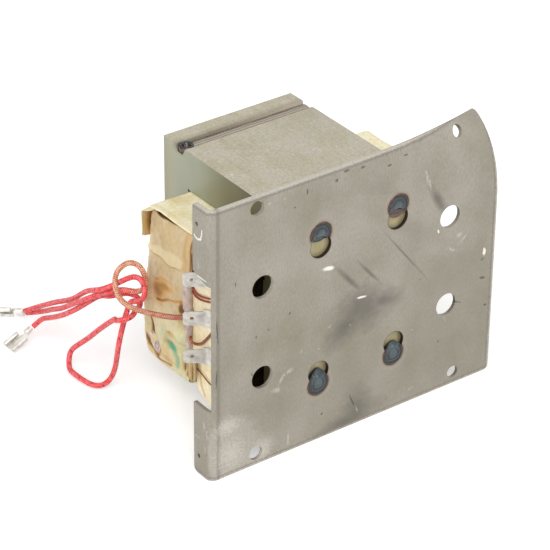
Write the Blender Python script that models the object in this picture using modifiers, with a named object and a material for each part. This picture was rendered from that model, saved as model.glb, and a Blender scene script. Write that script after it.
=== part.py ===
"""High voltage transformer of a microwave oven: a welded E-I core behind a folded sheet-steel mounting plate,
with a primary, a secondary and a filament winding.

Everything is laid out from the plate's lower left front corner: x to the right along the plate, y back from
its front face, z up. The empty TransformerFrame moves that corner so that the middle of the foot is at the
world's origin. Sizes below are millimetres; MM turns them into metres.
"""
import math

import bmesh
import bpy
from mathutils import Matrix, Vector

MM = 0.001
GAP = 0.3                      # clearance left between touching pieces

# core, from one E-I lamination: everything follows its leg width
LAM = 17.5                     # yoke and outer leg; the centre leg is twice that
STACK = 64.4                   # thickness of the pile of laminations
CORE_X = 40.0                  # core's left side, from the plate's left edge
MITRE_OUT = 10.8               # I bar's depth at its outer faces, where the mitre ends
SEAM_DEPTH = 3.4               # weld groove along the joint

# mounting plate: it stands out past the core on three sides
PLATE_SIDE, PLATE_ABOVE, PLATE_T = 38.9, 18.5, 1.6
PLATE_W, PLATE_H = CORE_X + STACK + PLATE_SIDE, 6 * LAM + PLATE_ABOVE
BEND_R = 3.2                   # outer radius of the left bend
FLANGE = 11.4
NOTCH_LOW, NOTCH_HIGH = 2 * LAM - 2.0, 5 * LAM + 2.9
CORNER_R = 2.4
MOUNT_R = 5.05                 # four large mounting holes
MOUNT_X = (CORE_X - 15.0, CORE_X + STACK + 14.0)
MOUNT_Z = (3 * LAM - 11.7, 3 * LAM + 30.0)
CURL_FROM = 35.9               # how far in from the upper right corner the curl starts
CURL_DIR = math.radians(59.4)  # direction across the curl, from +x towards +z
CURL_ANGLE = math.radians(58.9)
PLUG_R = 5.0                   # plug welds: punched holes, each half filled by a pool of weld
PLUG_X = (CORE_X + 0.2 * STACK, CORE_X + 0.795 * STACK)
PLUG_Z = (6 * LAM * 0.3095, 6 * LAM * 0.8667)
POOL_R, POOL_SHIFT, POOL_DEPTH = 5.3, 5.6, 0.8
CROWN = 0.75                   # how far the plug welds stand out of the plate's face

# windings
PRIMARY_SHARE = 0.38286        # the primary's share of the window's depth; the slot beside it is 5 deep
SLOT_DEPTH = 5.0
PAPER = 0.8
PRIMARY_OUT = (18.0, 18.6)     # how far each coil stands out of the core, left and right
SECONDARY_OUT = (23.0, 25.0)
COIL_TOP = 5 * LAM - 1.3
SHEET = 0.6                    # insulating sheet over the secondary

# loose parts
WIRE = 2.3                     # sleeved filament leads
TAB_W, TAB_T = 6.35, 0.8

CORE_Y = PLATE_T + GAP
CORE_H, CORE_D = 6 * LAM, 5 * LAM
BACK = CORE_Y + CORE_D
LEG_END = BACK - LAM
SEAM_Y = BACK - MITRE_OUT
WINDOW_Y = CORE_Y + LAM
PRIMARY_Y = (WINDOW_Y + GAP, WINDOW_Y + PRIMARY_SHARE * (LEG_END - WINDOW_Y))
SECONDARY_Y = (PRIMARY_Y[1] + SLOT_DEPTH, LEG_END - 0.5)

for old in list(bpy.data.objects):
    bpy.data.objects.remove(old, do_unlink=True)

PARTS = bpy.data.collections.new("high_voltage_transformer")
CUTTERS = bpy.data.collections.new("cutters")         # a cutter is here only until its Boolean is applied
for coll in (PARTS, CUTTERS):
    bpy.context.scene.collection.children.link(coll)

FRAME = bpy.data.objects.new("TransformerFrame", None)
FRAME.location = (-PLATE_W / 2 * MM, (CROWN - BACK) / 2 * MM, 0)
PARTS.objects.link(FRAME)


def colour(code):
    """sRGB hex colour to the linear values that a shader takes"""
    out = []
    for i in (0, 2, 4):
        c = int(code[i:i + 2], 16) / 255
        out.append(c / 12.92 if c <= 0.04045 else ((c + 0.055) / 1.055) ** 2.4)
    return (*out, 1.0)


def material(name, code, rough, metal=0.0):
    mat = bpy.data.materials.new(name)
    mat.use_nodes = True
    shader = mat.node_tree.nodes["Principled BSDF"]
    shader.inputs["Base Color"].default_value = colour(code)
    shader.inputs["Roughness"].default_value = rough
    shader.inputs["Metallic"].default_value = metal
    mat.diffuse_color = colour(code)
    return mat


STEEL = material("ZincSteel", "A8A195", 0.55, 0.6)
CORE = material("VarnishedCore", "A6A491", 0.45, 0.3)
WELD = material("WeldBead", "6F7B7C", 0.4, 0.8)
WIRE_CU = material("EnamelledCopper", "8C4A2C", 0.35, 0.5)
CREAM = material("CreamPaper", "F3E6BE", 0.6)
TAN = material("VarnishedPaper", "DCC48F", 0.5)
BOARD = material("PressedBoard", "B79A8C", 0.8)
SHUNT = material("ShuntSteel", "6B6A63", 0.5, 0.6)
TIN = material("TinnedSteel", "D9D5CC", 0.3, 0.9)
RED = material("RedSleeve", "E0333A", 0.5)


def place(obj, mat):
    """put an object in the part's collection, under the frame, with its material"""
    PARTS.objects.link(obj)
    obj.parent = FRAME
    obj.data.materials.clear()
    obj.data.materials.append(mat)
    return obj


def from_bmesh(name, bm):
    mesh = bpy.data.meshes.new(name)
    bmesh.ops.recalc_face_normals(bm, faces=bm.faces[:])
    bm.to_mesh(mesh)
    bm.free()
    return bpy.data.objects.new(name, mesh)


def baked(obj, flat=False):
    """the object with its modifiers applied, welded into one closed mesh; flat joins faces in one plane"""
    bpy.context.view_layer.update()
    graph = bpy.context.evaluated_depsgraph_get()
    mesh = bpy.data.meshes.new_from_object(obj.evaluated_get(graph))
    bm = bmesh.new()
    bm.from_mesh(mesh)
    bmesh.ops.remove_doubles(bm, verts=bm.verts[:], dist=1e-6)
    if flat:
        bmesh.ops.dissolve_limit(bm, angle_limit=1e-3, verts=bm.verts[:], edges=bm.edges[:])
    name, used = obj.name, list(obj.users_collection)
    data = obj.data
    bpy.data.objects.remove(obj, do_unlink=True)
    if isinstance(data, bpy.types.Curve):
        bpy.data.curves.remove(data)
    new = from_bmesh(name, bm)
    bpy.data.meshes.remove(mesh)
    return new, used


AXES = {"x": Matrix(((0, 0, 1), (1, 0, 0), (0, 1, 0))).to_4x4(),     # outline in y, z
        "y": Matrix(((1, 0, 0), (0, 0, 1), (0, 1, 0))).to_4x4(),     # outline in x, z
        "z": Matrix.Identity(4)}                                     # outline in x, y


def outline_solid(name, loops, low, high, axis):
    """flat outline, with holes where loops are nested, extruded from low to high along an axis or a matrix"""
    curve = bpy.data.curves.new(name, "CURVE")
    curve.dimensions, curve.fill_mode = "2D", "BOTH"
    curve.extrude = (high - low) / 2 * MM
    for loop in loops:
        spline = curve.splines.new("POLY")
        spline.points.add(len(loop) - 1)
        for point, (a, b) in zip(spline.points, loop):
            point.co = (a * MM, b * MM, 0, 1)
        spline.use_cyclic_u = True
    obj = bpy.data.objects.new(name, curve)
    bpy.context.scene.collection.objects.link(obj)
    obj, _ = baked(obj, True)
    turn = AXES[axis] if isinstance(axis, str) else axis
    obj.data.transform(turn @ Matrix.Translation((0, 0, (low + high) / 2 * MM)))
    if turn.to_3x3().determinant() < 0:
        obj.data.flip_normals()
    return obj


def box(name, low, high):
    bm = bmesh.new()
    bmesh.ops.create_cube(bm, size=1.0)
    for v in bm.verts:
        v.co = Vector((low[i] + (v.co[i] + 0.5) * (high[i] - low[i])) * MM for i in range(3))
    return from_bmesh(name, bm)


def rods(name, spots, y0, y1, radius, segments=32):
    """round bars along y in one mesh, none touching another"""
    bm = bmesh.new()
    for x, z in spots:
        turn = Matrix.Translation((x * MM, (y0 + y1) / 2 * MM, z * MM)) @ Matrix.Rotation(math.pi / 2, 4, "X")
        bmesh.ops.create_cone(bm, cap_ends=True, segments=segments, radius1=radius * MM, radius2=radius * MM,
                              depth=(y1 - y0) * MM, matrix=turn)
    return from_bmesh(name, bm)


def revolve(name, profile, at, up, segments=24):
    """closed solid from a profile of (radius, height) pairs that starts and ends on the axis"""
    bm = bmesh.new()
    verts = [bm.verts.new((r * MM, 0, h * MM)) for r, h in profile]
    for a, b in zip(verts, verts[1:]):
        bm.edges.new((a, b))
    obj = from_bmesh(name, bm)
    bpy.context.scene.collection.objects.link(obj)
    screw = obj.modifiers.new("Screw", "SCREW")
    screw.axis, screw.angle = "Z", math.tau
    screw.steps = screw.render_steps = segments
    screw.use_merge_vertices, screw.merge_threshold = True, 1e-6
    obj, _ = baked(obj)
    turn = Vector((0, 0, 1)).rotation_difference(Vector(up)).to_matrix().to_4x4()
    obj.data.transform(Matrix.Translation(Vector(at) * MM) @ turn)
    return obj


def combine(obj, other, how="DIFFERENCE"):
    """Boolean of obj with other, applied; the other one is removed"""
    if not obj.users_collection:
        bpy.context.scene.collection.objects.link(obj)
    if not other.users_collection:
        CUTTERS.objects.link(other)
    mod = obj.modifiers.new(how.title(), "BOOLEAN")
    mod.object, mod.operation, mod.solver = other, how, "EXACT"
    new, _ = baked(obj, True)
    bpy.data.objects.remove(other, do_unlink=True)
    return new


def arc(cx, cy, r, start, end, steps):
    return [(cx + r * math.cos(start + (end - start) * i / steps),
             cy + r * math.sin(start + (end - start) * i / steps)) for i in range(steps + 1)]


def smooth_path(points, step):
    """evenly spaced points along a centripetal Catmull-Rom curve through the given ones"""
    pts = [Vector(p) for p in points]
    pts = [2 * pts[0] - pts[1]] + pts + [2 * pts[-1] - pts[-2]]
    fine = []
    for i in range(1, len(pts) - 2):
        p = pts[i - 1:i + 3]
        t = [0.0]
        for a, b in zip(p, p[1:]):
            t.append(t[-1] + max((b - a).length, 1e-9) ** 0.5)
        for k in range(24):
            s = t[1] + (t[2] - t[1]) * k / 24
            a1 = p[0].lerp(p[1], (s - t[0]) / (t[1] - t[0]))
            a2 = p[1].lerp(p[2], (s - t[1]) / (t[2] - t[1]))
            a3 = p[2].lerp(p[3], (s - t[2]) / (t[3] - t[2]))
            b1 = a1.lerp(a2, (s - t[0]) / (t[2] - t[0]))
            b2 = a2.lerp(a3, (s - t[1]) / (t[3] - t[1]))
            fine.append(b1.lerp(b2, (s - t[1]) / (t[2] - t[1])))
    fine.append(pts[-2])
    return respace(fine, step)


def eased_path(points, step):
    """evenly spaced points along a uniform cubic B-spline, which passes near the points in rounder bends"""
    pts = [Vector(p) for p in points]
    pts = [2 * pts[0] - pts[1]] + pts + [2 * pts[-1] - pts[-2]]
    fine = []
    for a, b, c, d in zip(pts, pts[1:], pts[2:], pts[3:]):
        for k in range(24):
            t = k / 24
            fine.append((a * (1 - t) ** 3 + b * (3 * t ** 3 - 6 * t ** 2 + 4)
                         + c * (-3 * t ** 3 + 3 * t ** 2 + 3 * t + 1) + d * t ** 3) / 6)
    fine.append(pts[-2])
    return respace(fine, step)


def respace(fine, step):
    """the same path with points about a step apart"""
    run = [0.0]
    for a, b in zip(fine, fine[1:]):
        run.append(run[-1] + (b - a).length)
    count = max(2, round(run[-1] / step))
    out, j = [], 0
    for i in range(count + 1):
        s = run[-1] * i / count
        while j < len(run) - 2 and run[j + 1] < s:
            j += 1
        k = 0 if run[j + 1] == run[j] else (s - run[j]) / (run[j + 1] - run[j])
        out.append(fine[j].lerp(fine[j + 1], min(1.0, max(0.0, k))))
    return out


def bends(points, wide, tight):
    """keep more points where the path turns: a point each time it has gone wide, or turned enough"""
    keep, gone, turned = [points[0]], 0.0, 0.0
    for a, b, c in zip(points, points[1:], points[2:]):
        gone += (b - a).length
        turned += (b - a).angle(c - b)
        if gone >= wide or (turned > 0.42 and gone >= tight):
            keep.append(b)
            gone = turned = 0.0
    if (points[-1] - keep[-1]).length < tight * 0.6:
        keep.pop()
    return keep + [points[-1]]


def tube(name, points, diameter, mat, resolution=2):
    curve = bpy.data.curves.new(name, "CURVE")
    curve.dimensions = "3D"
    curve.bevel_depth = diameter / 2 * MM
    curve.bevel_resolution = resolution
    curve.use_fill_caps = True
    spline = curve.splines.new("POLY")
    spline.points.add(len(points) - 1)
    for point, co in zip(spline.points, points):
        point.co = (co[0] * MM, co[1] * MM, co[2] * MM, 1)
    return place(bpy.data.objects.new(name, curve), mat)


def inset(loop, d):
    """closed outline moved inwards by d; loop runs anticlockwise"""
    out, n = [], len(loop)
    for i in range(n):
        a, b, c = Vector(loop[i - 1]), Vector(loop[i]), Vector(loop[(i + 1) % n])
        e1, e2 = (b - a).normalized(), (c - b).normalized()
        n1, n2 = Vector((-e1.y, e1.x)), Vector((-e2.y, e2.x))
        mid = (n1 + n2).normalized()
        out.append(tuple(b + mid * (d / max(0.35, mid.dot(n1)))))
    return out


# Core: the E pile faces the plate, the I pile closes it from behind along a mitred joint that is welded
# from above and from below.
def mitre(z, side):
    """joint line between E and I in the upper yoke, half a gap to one side"""
    inner, outer = (LEG_END, CORE_H - LAM), (SEAM_Y, CORE_H)
    return inner[0] + (z - inner[1]) / LAM * (outer[0] - inner[0]) + side * GAP / 2


FLOOR = CORE_H - SEAM_DEPTH
E_TOP = [(mitre(CORE_H - LAM, -1), CORE_H - LAM), (mitre(FLOOR, -1), FLOOR), (SEAM_Y - 2.6, FLOOR),
         (SEAM_Y - 4.4, CORE_H)]
I_TOP = [(LEG_END + GAP / 2, CORE_H - LAM), (mitre(FLOOR, 1), FLOOR), (SEAM_Y + 1.3, FLOOR),
         (SEAM_Y + 2.4, CORE_H)]


def flipped(points):
    return [(y, CORE_H - z) for y, z in reversed(points)]


E_OUT = ([(CORE_Y, CORE_H), (CORE_Y, 0)] + flipped(E_TOP)
         + [(CORE_Y + LAM, LAM), (CORE_Y + LAM, 2 * LAM), (LEG_END - GAP / 2, 2 * LAM),
            (LEG_END - GAP / 2, 4 * LAM), (CORE_Y + LAM, 4 * LAM), (CORE_Y + LAM, 5 * LAM)] + E_TOP)
I_OUT = flipped(I_TOP) + I_TOP + [(BACK, CORE_H), (BACK, 0)]

CRATER_X = CORE_X + 3.4
for name, shape in (("core_e_stack", E_OUT), ("core_i_stack", I_OUT)):
    pile = outline_solid(name, [shape], CORE_X, CORE_X + STACK, "x")
    crater = revolve("crater_cut", [(0, 8), (3.7, 8), (3.7, 0), (0, 0)],
                     (CRATER_X, SEAM_Y - 0.9, FLOOR), (0, 0, 1))
    place(combine(pile, crater), CORE)


def seam(name, top):
    low, high = FLOOR + GAP, CORE_H - 2.0
    section = [(SEAM_Y - 2.4, low), (SEAM_Y + 0.9, low), (SEAM_Y + 1.15, high - 0.4),
               (SEAM_Y + 0.3, high + 0.1), (SEAM_Y - 0.9, high + 0.25), (SEAM_Y - 2.1, high),
               (SEAM_Y - 2.9, high - 0.6)]
    if not top:
        section = [(y, CORE_H - z) for y, z in reversed(section)]
    bead = outline_solid(name, [section], CORE_X + 0.6, CORE_X + STACK - 0.5, "x")
    if top:
        rim = [(0, 2.2), (1.7, 2.0), (2.5, 3.0), (3.1, 2.7), (3.35, 1.6), (3.35, GAP), (0, GAP)]
        pool = revolve("pool", rim, (CRATER_X + 0.05, SEAM_Y - 0.9, FLOOR), (0, 0, 1))
        bead = combine(bead, pool, "UNION")
    return place(bead, WELD)


seam("seam_weld_top", True)
seam("seam_weld_bottom", False)

# Mounting plate: a folded sheet with its left edge bent back into a flange, a notch in that flange beside the
# terminals, mounting holes, four plug welds to the core and an upper right corner that is curled back.
sheet = ([(PLATE_W, 0), (BEND_R, 0)] + arc(BEND_R, BEND_R, BEND_R, -math.pi / 2, -math.pi, 8)[1:]
         + [(0, FLANGE), (PLATE_T, FLANGE)]
         + arc(BEND_R, BEND_R, BEND_R - PLATE_T, -math.pi, -math.pi / 2, 8) + [(PLATE_W, PLATE_T)])
plate = outline_solid("base_plate", [sheet[::-1]], 0, PLATE_H, "z")

bm = bmesh.new()
bm.from_mesh(plate.data)
ends = [e for e in bm.edges if abs(e.verts[0].co.z - e.verts[1].co.z) < 1e-6
        and (all(abs(v.co.x - PLATE_W * MM) < 1e-6 for v in e.verts)
             or all(abs(v.co.y - FLANGE * MM) < 1e-6 for v in e.verts))]
bmesh.ops.bevel(bm, geom=ends, offset=CORNER_R * MM, segments=4, affect="EDGES", profile=0.5)
bm.to_mesh(plate.data)
bm.free()

bend_end = math.radians(43.4)
cut = [(BEND_R, BEND_R), (BEND_R, FLANGE + 4), (-4, FLANGE + 4), (-4, BEND_R - 6 * math.cos(bend_end)),
       (BEND_R - 6 * math.sin(bend_end), BEND_R - 6 * math.cos(bend_end))]
notch = outline_solid("flange_notch", [cut], NOTCH_LOW, NOTCH_HIGH, "z")
for v in notch.data.vertices:
    if v.co.z > (NOTCH_LOW + NOTCH_HIGH) / 2 * MM:
        v.co.z += (v.co.y - 2.2 * MM) / 3
plate = combine(plate, notch)

plate = combine(plate, rods("mounting_holes", [(x, z) for x in MOUNT_X for z in MOUNT_Z], -2, 4, MOUNT_R))
plate = combine(plate, rods("left_holes", [(22.1, 5.7), (22.1, PLATE_H - 5.2)], -2, 4, 3.25, 24))
right = [(PLATE_W - 19.6, 5.7), (PLATE_W - 18.4, PLATE_H - 5.0)]
plate = combine(plate, rods("right_holes", right, -2, 4, 2.8, 24))
plate = combine(plate, rods("plug_holes", [(x, z) for x in PLUG_X for z in PLUG_Z], -2, 4, PLUG_R, 28))
pools = [(x, z + (POOL_SHIFT if z > PLATE_H / 2 else -POOL_SHIFT)) for x in PLUG_X for z in PLUG_Z]
plate = combine(plate, rods("weld_pools", pools, -2, POOL_DEPTH, POOL_R, 28))
small = bmesh.new()
for y, z in ((8.1, 8.8), (8.5, PLATE_H - 8.5)):
    spot = Matrix.Translation((PLATE_T / 2 * MM, y * MM, z * MM)) @ Matrix.Rotation(math.pi / 2, 4, "Y")
    bmesh.ops.create_cone(small, cap_ends=True, segments=12, radius1=MM, radius2=MM, depth=6 * MM,
                          matrix=spot)
plate = combine(plate, from_bmesh("flange_holes", small))


def curl_corner(obj, strips=11):
    """roll the upper right corner back: strips across the curl are turned one after another, each one flat"""
    across = Vector((math.cos(CURL_DIR), 0, math.sin(CURL_DIR)))
    start = Vector((PLATE_W * MM, 0, PLATE_H * MM)).dot(across) - CURL_FROM * MM
    width = CURL_FROM * MM / strips
    turn = [0.0] + [CURL_ANGLE * ((k + 0.5) / strips) ** 1.32 for k in range(strips)]
    bm = bmesh.new()
    bm.from_mesh(obj.data)
    for k in range(strips):
        bmesh.ops.bisect_plane(bm, geom=bm.verts[:] + bm.edges[:] + bm.faces[:], dist=1e-7,
                               plane_co=across * (start + k * width), plane_no=across)
    # nodes of the folded front face, and the mitred direction through the sheet at each
    nodes, through = [(0.0, 0.0)], []
    for k in range(1, strips + 1):
        s, y = nodes[-1]
        nodes.append((s + width * math.cos(turn[k]), y + width * math.sin(turn[k])))
    for k in range(strips + 1):
        a, b = turn[k], turn[min(k + 1, strips)]
        mid, stretch = (a + b) / 2, 1 / math.cos((b - a) / 2)
        through.append((-math.sin(mid) * stretch, math.cos(mid) * stretch))
    for v in bm.verts:
        s = v.co.dot(across) - start
        if s <= 1e-9:
            continue
        k = min(int(s / width + 1e-4), strips - 1)
        t = s / width - k
        y = v.co.y
        new_s = ((1 - t) * (nodes[k][0] + y * through[k][0]) + t * (nodes[k + 1][0] + y * through[k + 1][0]))
        new_y = ((1 - t) * (nodes[k][1] + y * through[k][1]) + t * (nodes[k + 1][1] + y * through[k + 1][1]))
        v.co += across * (new_s - s)
        v.co.y = new_y
    bm.to_mesh(obj.data)
    bm.free()


curl_corner(plate)
place(plate, STEEL)

for row, z in zip(("lower", "upper"), PLUG_Z):
    for side, x in zip(("left", "right"), PLUG_X):
        zp = z + (POOL_SHIFT if row == "upper" else -POOL_SHIFT)
        r = POOL_R - GAP
        neck = combine(rods("neck", [(x, z)], 0.2, PLATE_T, PLUG_R - GAP, 28),
                       rods("trim", [(x, zp)], -1, 3, r, 28), "INTERSECT")
        neck.name = f"plug_weld_{row}_{side}"
        dome = revolve("dome", [(0, CROWN), (1.8, CROWN - 0.07), (3.4, CROWN - 0.33), (4.5, 0.05), (r, -0.3),
                                (r, GAP - POOL_DEPTH), (0, GAP - POOL_DEPTH)], (x, 0, zp), (0, -1, 0), 28)
        place(combine(neck, dome, "UNION"), WELD)


# Windings: closed rings round the centre leg. Inside the core they fill the window, outside they bulge.
def coil_outline(left, right, out):
    """outline in x, z: two overhangs, as shares of how far each stands out and of the window's height"""
    sides = []
    for points, far in ((left, out[0]), (right, out[1])):
        spots = [(a * far, COIL_LOW + b * (COIL_TOP - COIL_LOW), 0) for a, b in points]
        sides.append([tuple(v) for v in smooth_path(spots, 3.0)])
    loop = [(CORE_X - a, b) for a, b, _ in sides[0]]
    loop += [(CORE_X - 0.8, COIL_LOW), (CORE_X + STACK + 0.8, COIL_LOW)]
    loop += [(CORE_X + STACK + a, b) for a, b, _ in reversed(sides[1])]
    return [(CORE_X - 0.8, COIL_TOP)] + loop + [(CORE_X + STACK + 0.8, COIL_TOP)]


def leg(clear):
    x0, x1 = CORE_X - clear, CORE_X + STACK + clear
    z0, z1 = 2 * LAM - clear, 4 * LAM + clear
    return [(x0, z0), (x1, z0), (x1, z1), (x0, z1)]


COIL_LOW = CORE_H - COIL_TOP
ROUND = [(0.806, 0.997), (0.939, 0.979), (0.994, 0.938), (1, 0.611), (1, 0.315), (0.994, 0.033),
         (0.917, -0.033), (0.667, -0.056), (0.222, -0.033)]
SAG_LEFT = [(0.630, 1), (0.757, 0.988), (0.809, 0.945), (0.887, 0.685), (0.983, 0.418), (1, 0.196),
            (0.965, 0.047), (0.887, -0.030), (0.717, -0.062), (0.435, -0.059), (0.174, -0.030)]
SAG_RIGHT = [(0.760, 1), (0.872, 0.985), (0.920, 0.938), (0.968, 0.685), (1, 0.418), (1, 0.196),
             (0.960, 0.047), (0.880, -0.030), (0.720, -0.062), (0.400, -0.059), (0.160, -0.030)]
PRIMARY = coil_outline(ROUND, ROUND, PRIMARY_OUT)
SECONDARY = coil_outline(SAG_LEFT, SAG_RIGHT, SECONDARY_OUT)

for name, loop, (y0, y1), paper in (("primary", PRIMARY, PRIMARY_Y, CREAM),
                                    ("secondary", SECONDARY, SECONDARY_Y, TAN)):
    core_loop = inset(loop, PAPER + GAP)
    place(outline_solid(name + "_winding", [core_loop, leg(0.6)], y0 + 0.4, y1 - 0.4, "y"), WIRE_CU)
    place(outline_solid(name + "_wrap", [loop, inset(loop, PAPER)], y0, y1, "y"), paper)

# insulating sheet: through the upper window over the secondary, its left end curled down at the far corner
SHEET_Z = COIL_TOP + GAP + SHEET / 2
front = [(CORE_X - 17.4, SHEET_Z - 0.45), (CORE_X - 15.6, SHEET_Z - 0.05), (CORE_X - 13, SHEET_Z),
         (CORE_X - 6, SHEET_Z)]
far = [(CORE_X - 23.6, SHEET_Z - 7.1), (CORE_X - 22.6, SHEET_Z - 3.6), (CORE_X - 20.1, SHEET_Z - 0.8),
       (CORE_X - 16, SHEET_Z)]
bm = bmesh.new()
rows = []
for j in range(6):
    t = j / 5
    y = SECONDARY_Y[0] + 0.5 + t * (SECONDARY_Y[1] - SECONDARY_Y[0] - 0.6)
    mix = max(0.0, (t - 0.25) / 0.75) ** 1.6
    ends = [(a[0] * (1 - mix) + b[0] * mix, a[1] * (1 - mix) + b[1] * mix) for a, b in zip(front, far)]
    side = CORE_X + STACK
    tail = [(side - STACK / 2, SHEET_Z), (side + 20, SHEET_Z), (side + 24.5, SHEET_Z - 0.1),
            (side + 27, SHEET_Z - 0.5)]
    rows.append([bm.verts.new((x * MM, y * MM, z * MM)) for x, z in ends + tail])
for a, b in zip(rows, rows[1:]):
    for i in range(len(a) - 1):
        bm.faces.new((a[i], a[i + 1], b[i + 1], b[i]))
flap = from_bmesh("secondary_paper_upper", bm)
skin = flap.modifiers.new("Solidify", "SOLIDIFY")
skin.thickness, skin.offset = SHEET * MM, 0.0
place(flap, CREAM)

# magnetic shunts and the filament winding between the two coils
SHUNT_Y = (PRIMARY_Y[1] + 0.4, SECONDARY_Y[0] - 0.4)
for name, z0, z1 in (("shunt_upper", 4 * LAM + 6.5, 5 * LAM - GAP),
                     ("shunt_lower", LAM + GAP, 2 * LAM - 6.5)):
    place(box(name, (CORE_X + 1, SHUNT_Y[0], z0), (CORE_X + STACK - 1, SHUNT_Y[1], z1)), SHUNT)

FIL_Y = PRIMARY_Y[1] + 2.45


def around(clear, part):
    """point on a rounded loop round the centre leg, clear of it; part runs from 0 to 1 once round"""
    hx, hz, r = STACK / 2 + clear, LAM + clear, 0.6 + clear
    straight = [2 * (hx - r), 2 * (hz - r)]
    lengths = [straight[1] / 2, r * math.pi / 2, straight[0], r * math.pi / 2, straight[1], r * math.pi / 2,
               straight[0], r * math.pi / 2, straight[1] / 2]
    s = (part % 1.0) * sum(lengths)
    x, z, heading = -hx, 0.0, math.pi / 2
    for i, length in enumerate(lengths):
        step = min(s, length)
        if i % 2:
            turn = step / r
            x += r * (math.sin(heading) - math.sin(heading - turn))
            z += r * (math.cos(heading - turn) - math.cos(heading))
            heading -= turn
        else:
            x += step * math.cos(heading)
            z += step * math.sin(heading)
        s -= step
        if s <= 0:
            break
    return CORE_X + STACK / 2 + x, 3 * LAM + z


# two turns, the second one outside the first; the step between them and the way out are on the left
INNER, OUTER = WIRE / 2 + 0.6, 1.5 * WIRE + GAP + 0.6
turns = []
for i in range(481):
    part = 0.035 + i / 480 * 1.92
    rise = min(1.0, max(0.0, (part - 0.955) / 0.065))
    x, z = around(INNER + (OUTER - INNER) * rise * rise * (3 - 2 * rise), part)
    turns.append(Vector((x, FIL_Y, z)))
OUT_R = 4.6
x, z = turns[-1].x - OUT_R, turns[-1].z
turns += [Vector((a, FIL_Y, b)) for a, b in arc(x, z, OUT_R, 0, math.radians(80), 24)[1:]]
EXIT = Vector((CORE_X - 19.0, FIL_Y + 0.1, 3 * LAM - 3.8))
tube("filament_winding", bends(turns + [EXIT], 9.0, 0.9), WIRE, WIRE_CU)

# board strips that close the slot between the coils outside the core
SLOT_Y = (FIL_Y + WIRE / 2 + 0.2, SECONDARY_Y[0] - 0.2)
for name, x0, x1 in (("separator_left", CORE_X - PRIMARY_OUT[0] - 1.5, CORE_X - 0.6),
                     ("separator_right", CORE_X + STACK + 0.6, CORE_X + STACK + PRIMARY_OUT[1] + 1.4)):
    place(box(name, (x0, SLOT_Y[0], COIL_LOW + 0.2), (x1, SLOT_Y[1], COIL_TOP - 1.7)), BOARD)


# flat terminals on the primary's left face: a base on the paper and a blade that leans out and back
FACE_X = CORE_X - PRIMARY_OUT[0]
LEAN = Vector((-0.81, 0.586, 0)).normalized()


def terminal_tab(name, z):
    at = Vector((FACE_X - GAP - TAB_T / 2 - 0.1, PRIMARY_Y[1] - 8.5, 0))
    stations = [(at + Vector((0, -7.0, 0)), 4.0), (at + Vector((0, -0.8, 0)), 4.0), (at + LEAN * 0.7, 4.0),
                (at + LEAN * 2.1, 4.0), (at + LEAN * 2.2, TAB_W / 2), (at + LEAN * 9.3, TAB_W / 2),
                (at + LEAN * 10.4, TAB_W / 2 - 1.1)]
    bm = bmesh.new()
    pairs = [[bm.verts.new((p.x * MM, p.y * MM, (z + s * h) * MM)) for s in (-1, 1)] for p, h in stations]
    for a, b in zip(pairs, pairs[1:]):
        bm.faces.new((a[0], b[0], b[1], a[1]))
    tab = from_bmesh(name, bm)
    bpy.context.scene.collection.objects.link(tab)
    thick = tab.modifiers.new("Solidify", "SOLIDIFY")
    thick.thickness, thick.offset = TAB_T * MM, 0.0
    thick.use_even_offset = True
    tab, _ = baked(tab)
    hole = at + LEAN * 6.8
    bm = bmesh.new()
    normal = Vector((LEAN.y, -LEAN.x, 0))
    turn = Vector((0, 0, 1)).rotation_difference(normal).to_matrix().to_4x4()
    bmesh.ops.create_cone(bm, cap_ends=True, segments=16, radius1=0.85 * MM, radius2=0.85 * MM, depth=4 * MM,
                          matrix=Matrix.Translation((hole.x * MM, hole.y * MM, z * MM)) @ turn)
    return place(combine(tab, from_bmesh("hole", bm)), TIN)


TAB_Z = (3 * LAM + 19.3, 3 * LAM + 1.2, 3 * LAM - 16.7)
for name, z in zip(("primary_tab_upper", "primary_tab_middle", "secondary_tab"), TAB_Z):
    terminal_tab(name, z)

# enamelled wires from the coils to the terminals, over the paper of the primary's face
WX = FACE_X - GAP
SLOT = PRIMARY_Y[1]
MID = 3 * LAM
def enamelled(name, route, diameter, step=1.6):
    """wire over the primary's face; its route is out of the face, back from the slot, up from the middle"""
    spots = [(WX - out, SLOT + back, MID + up) for out, back, up in route]
    return tube(name, smooth_path(spots, step), diameter, WIRE_CU)


enamelled("primary_lead_upper", [
    (0.3, 3.1, 8.4), (0.5, 1.5, 7.1), (0.5, -2.0, 6.9), (0.5, -9.5, 9.1), (0.5, -13.5, 10.9),
    (0.5, -14.9, 11.9), (0.5, -15.0, 13.1), (0.5, -13.5, 12.8), (0.5, -9.5, 10.8), (0.5, -2.0, 8.5),
    (0.5, 0.5, 8.6), (0.3, 2.9, 9.9)], 0.8, 1.5)
enamelled("primary_lead_middle", [
    (1.5, 2.7, -12.6), (2.3, 2.2, -14.1), (1.3, 0.3, -15.1), (0.8, -2.5, -14.1), (0.7, -6.5, -10.1),
    (0.7, -9.5, -6.3), (0.7, -10.9, -4.6)], 1.2)
enamelled("secondary_lead", [
    (0.2, 2.9, -25.2), (0.4, 1.7, -26.6), (0.35, -3.5, -28.5), (0.35, -9.5, -30.1), (0.35, -14.5, -28.5),
    (0.35, -16.9, -23.9), (0.35, -17.1, -18.5)], 0.55)

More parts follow.
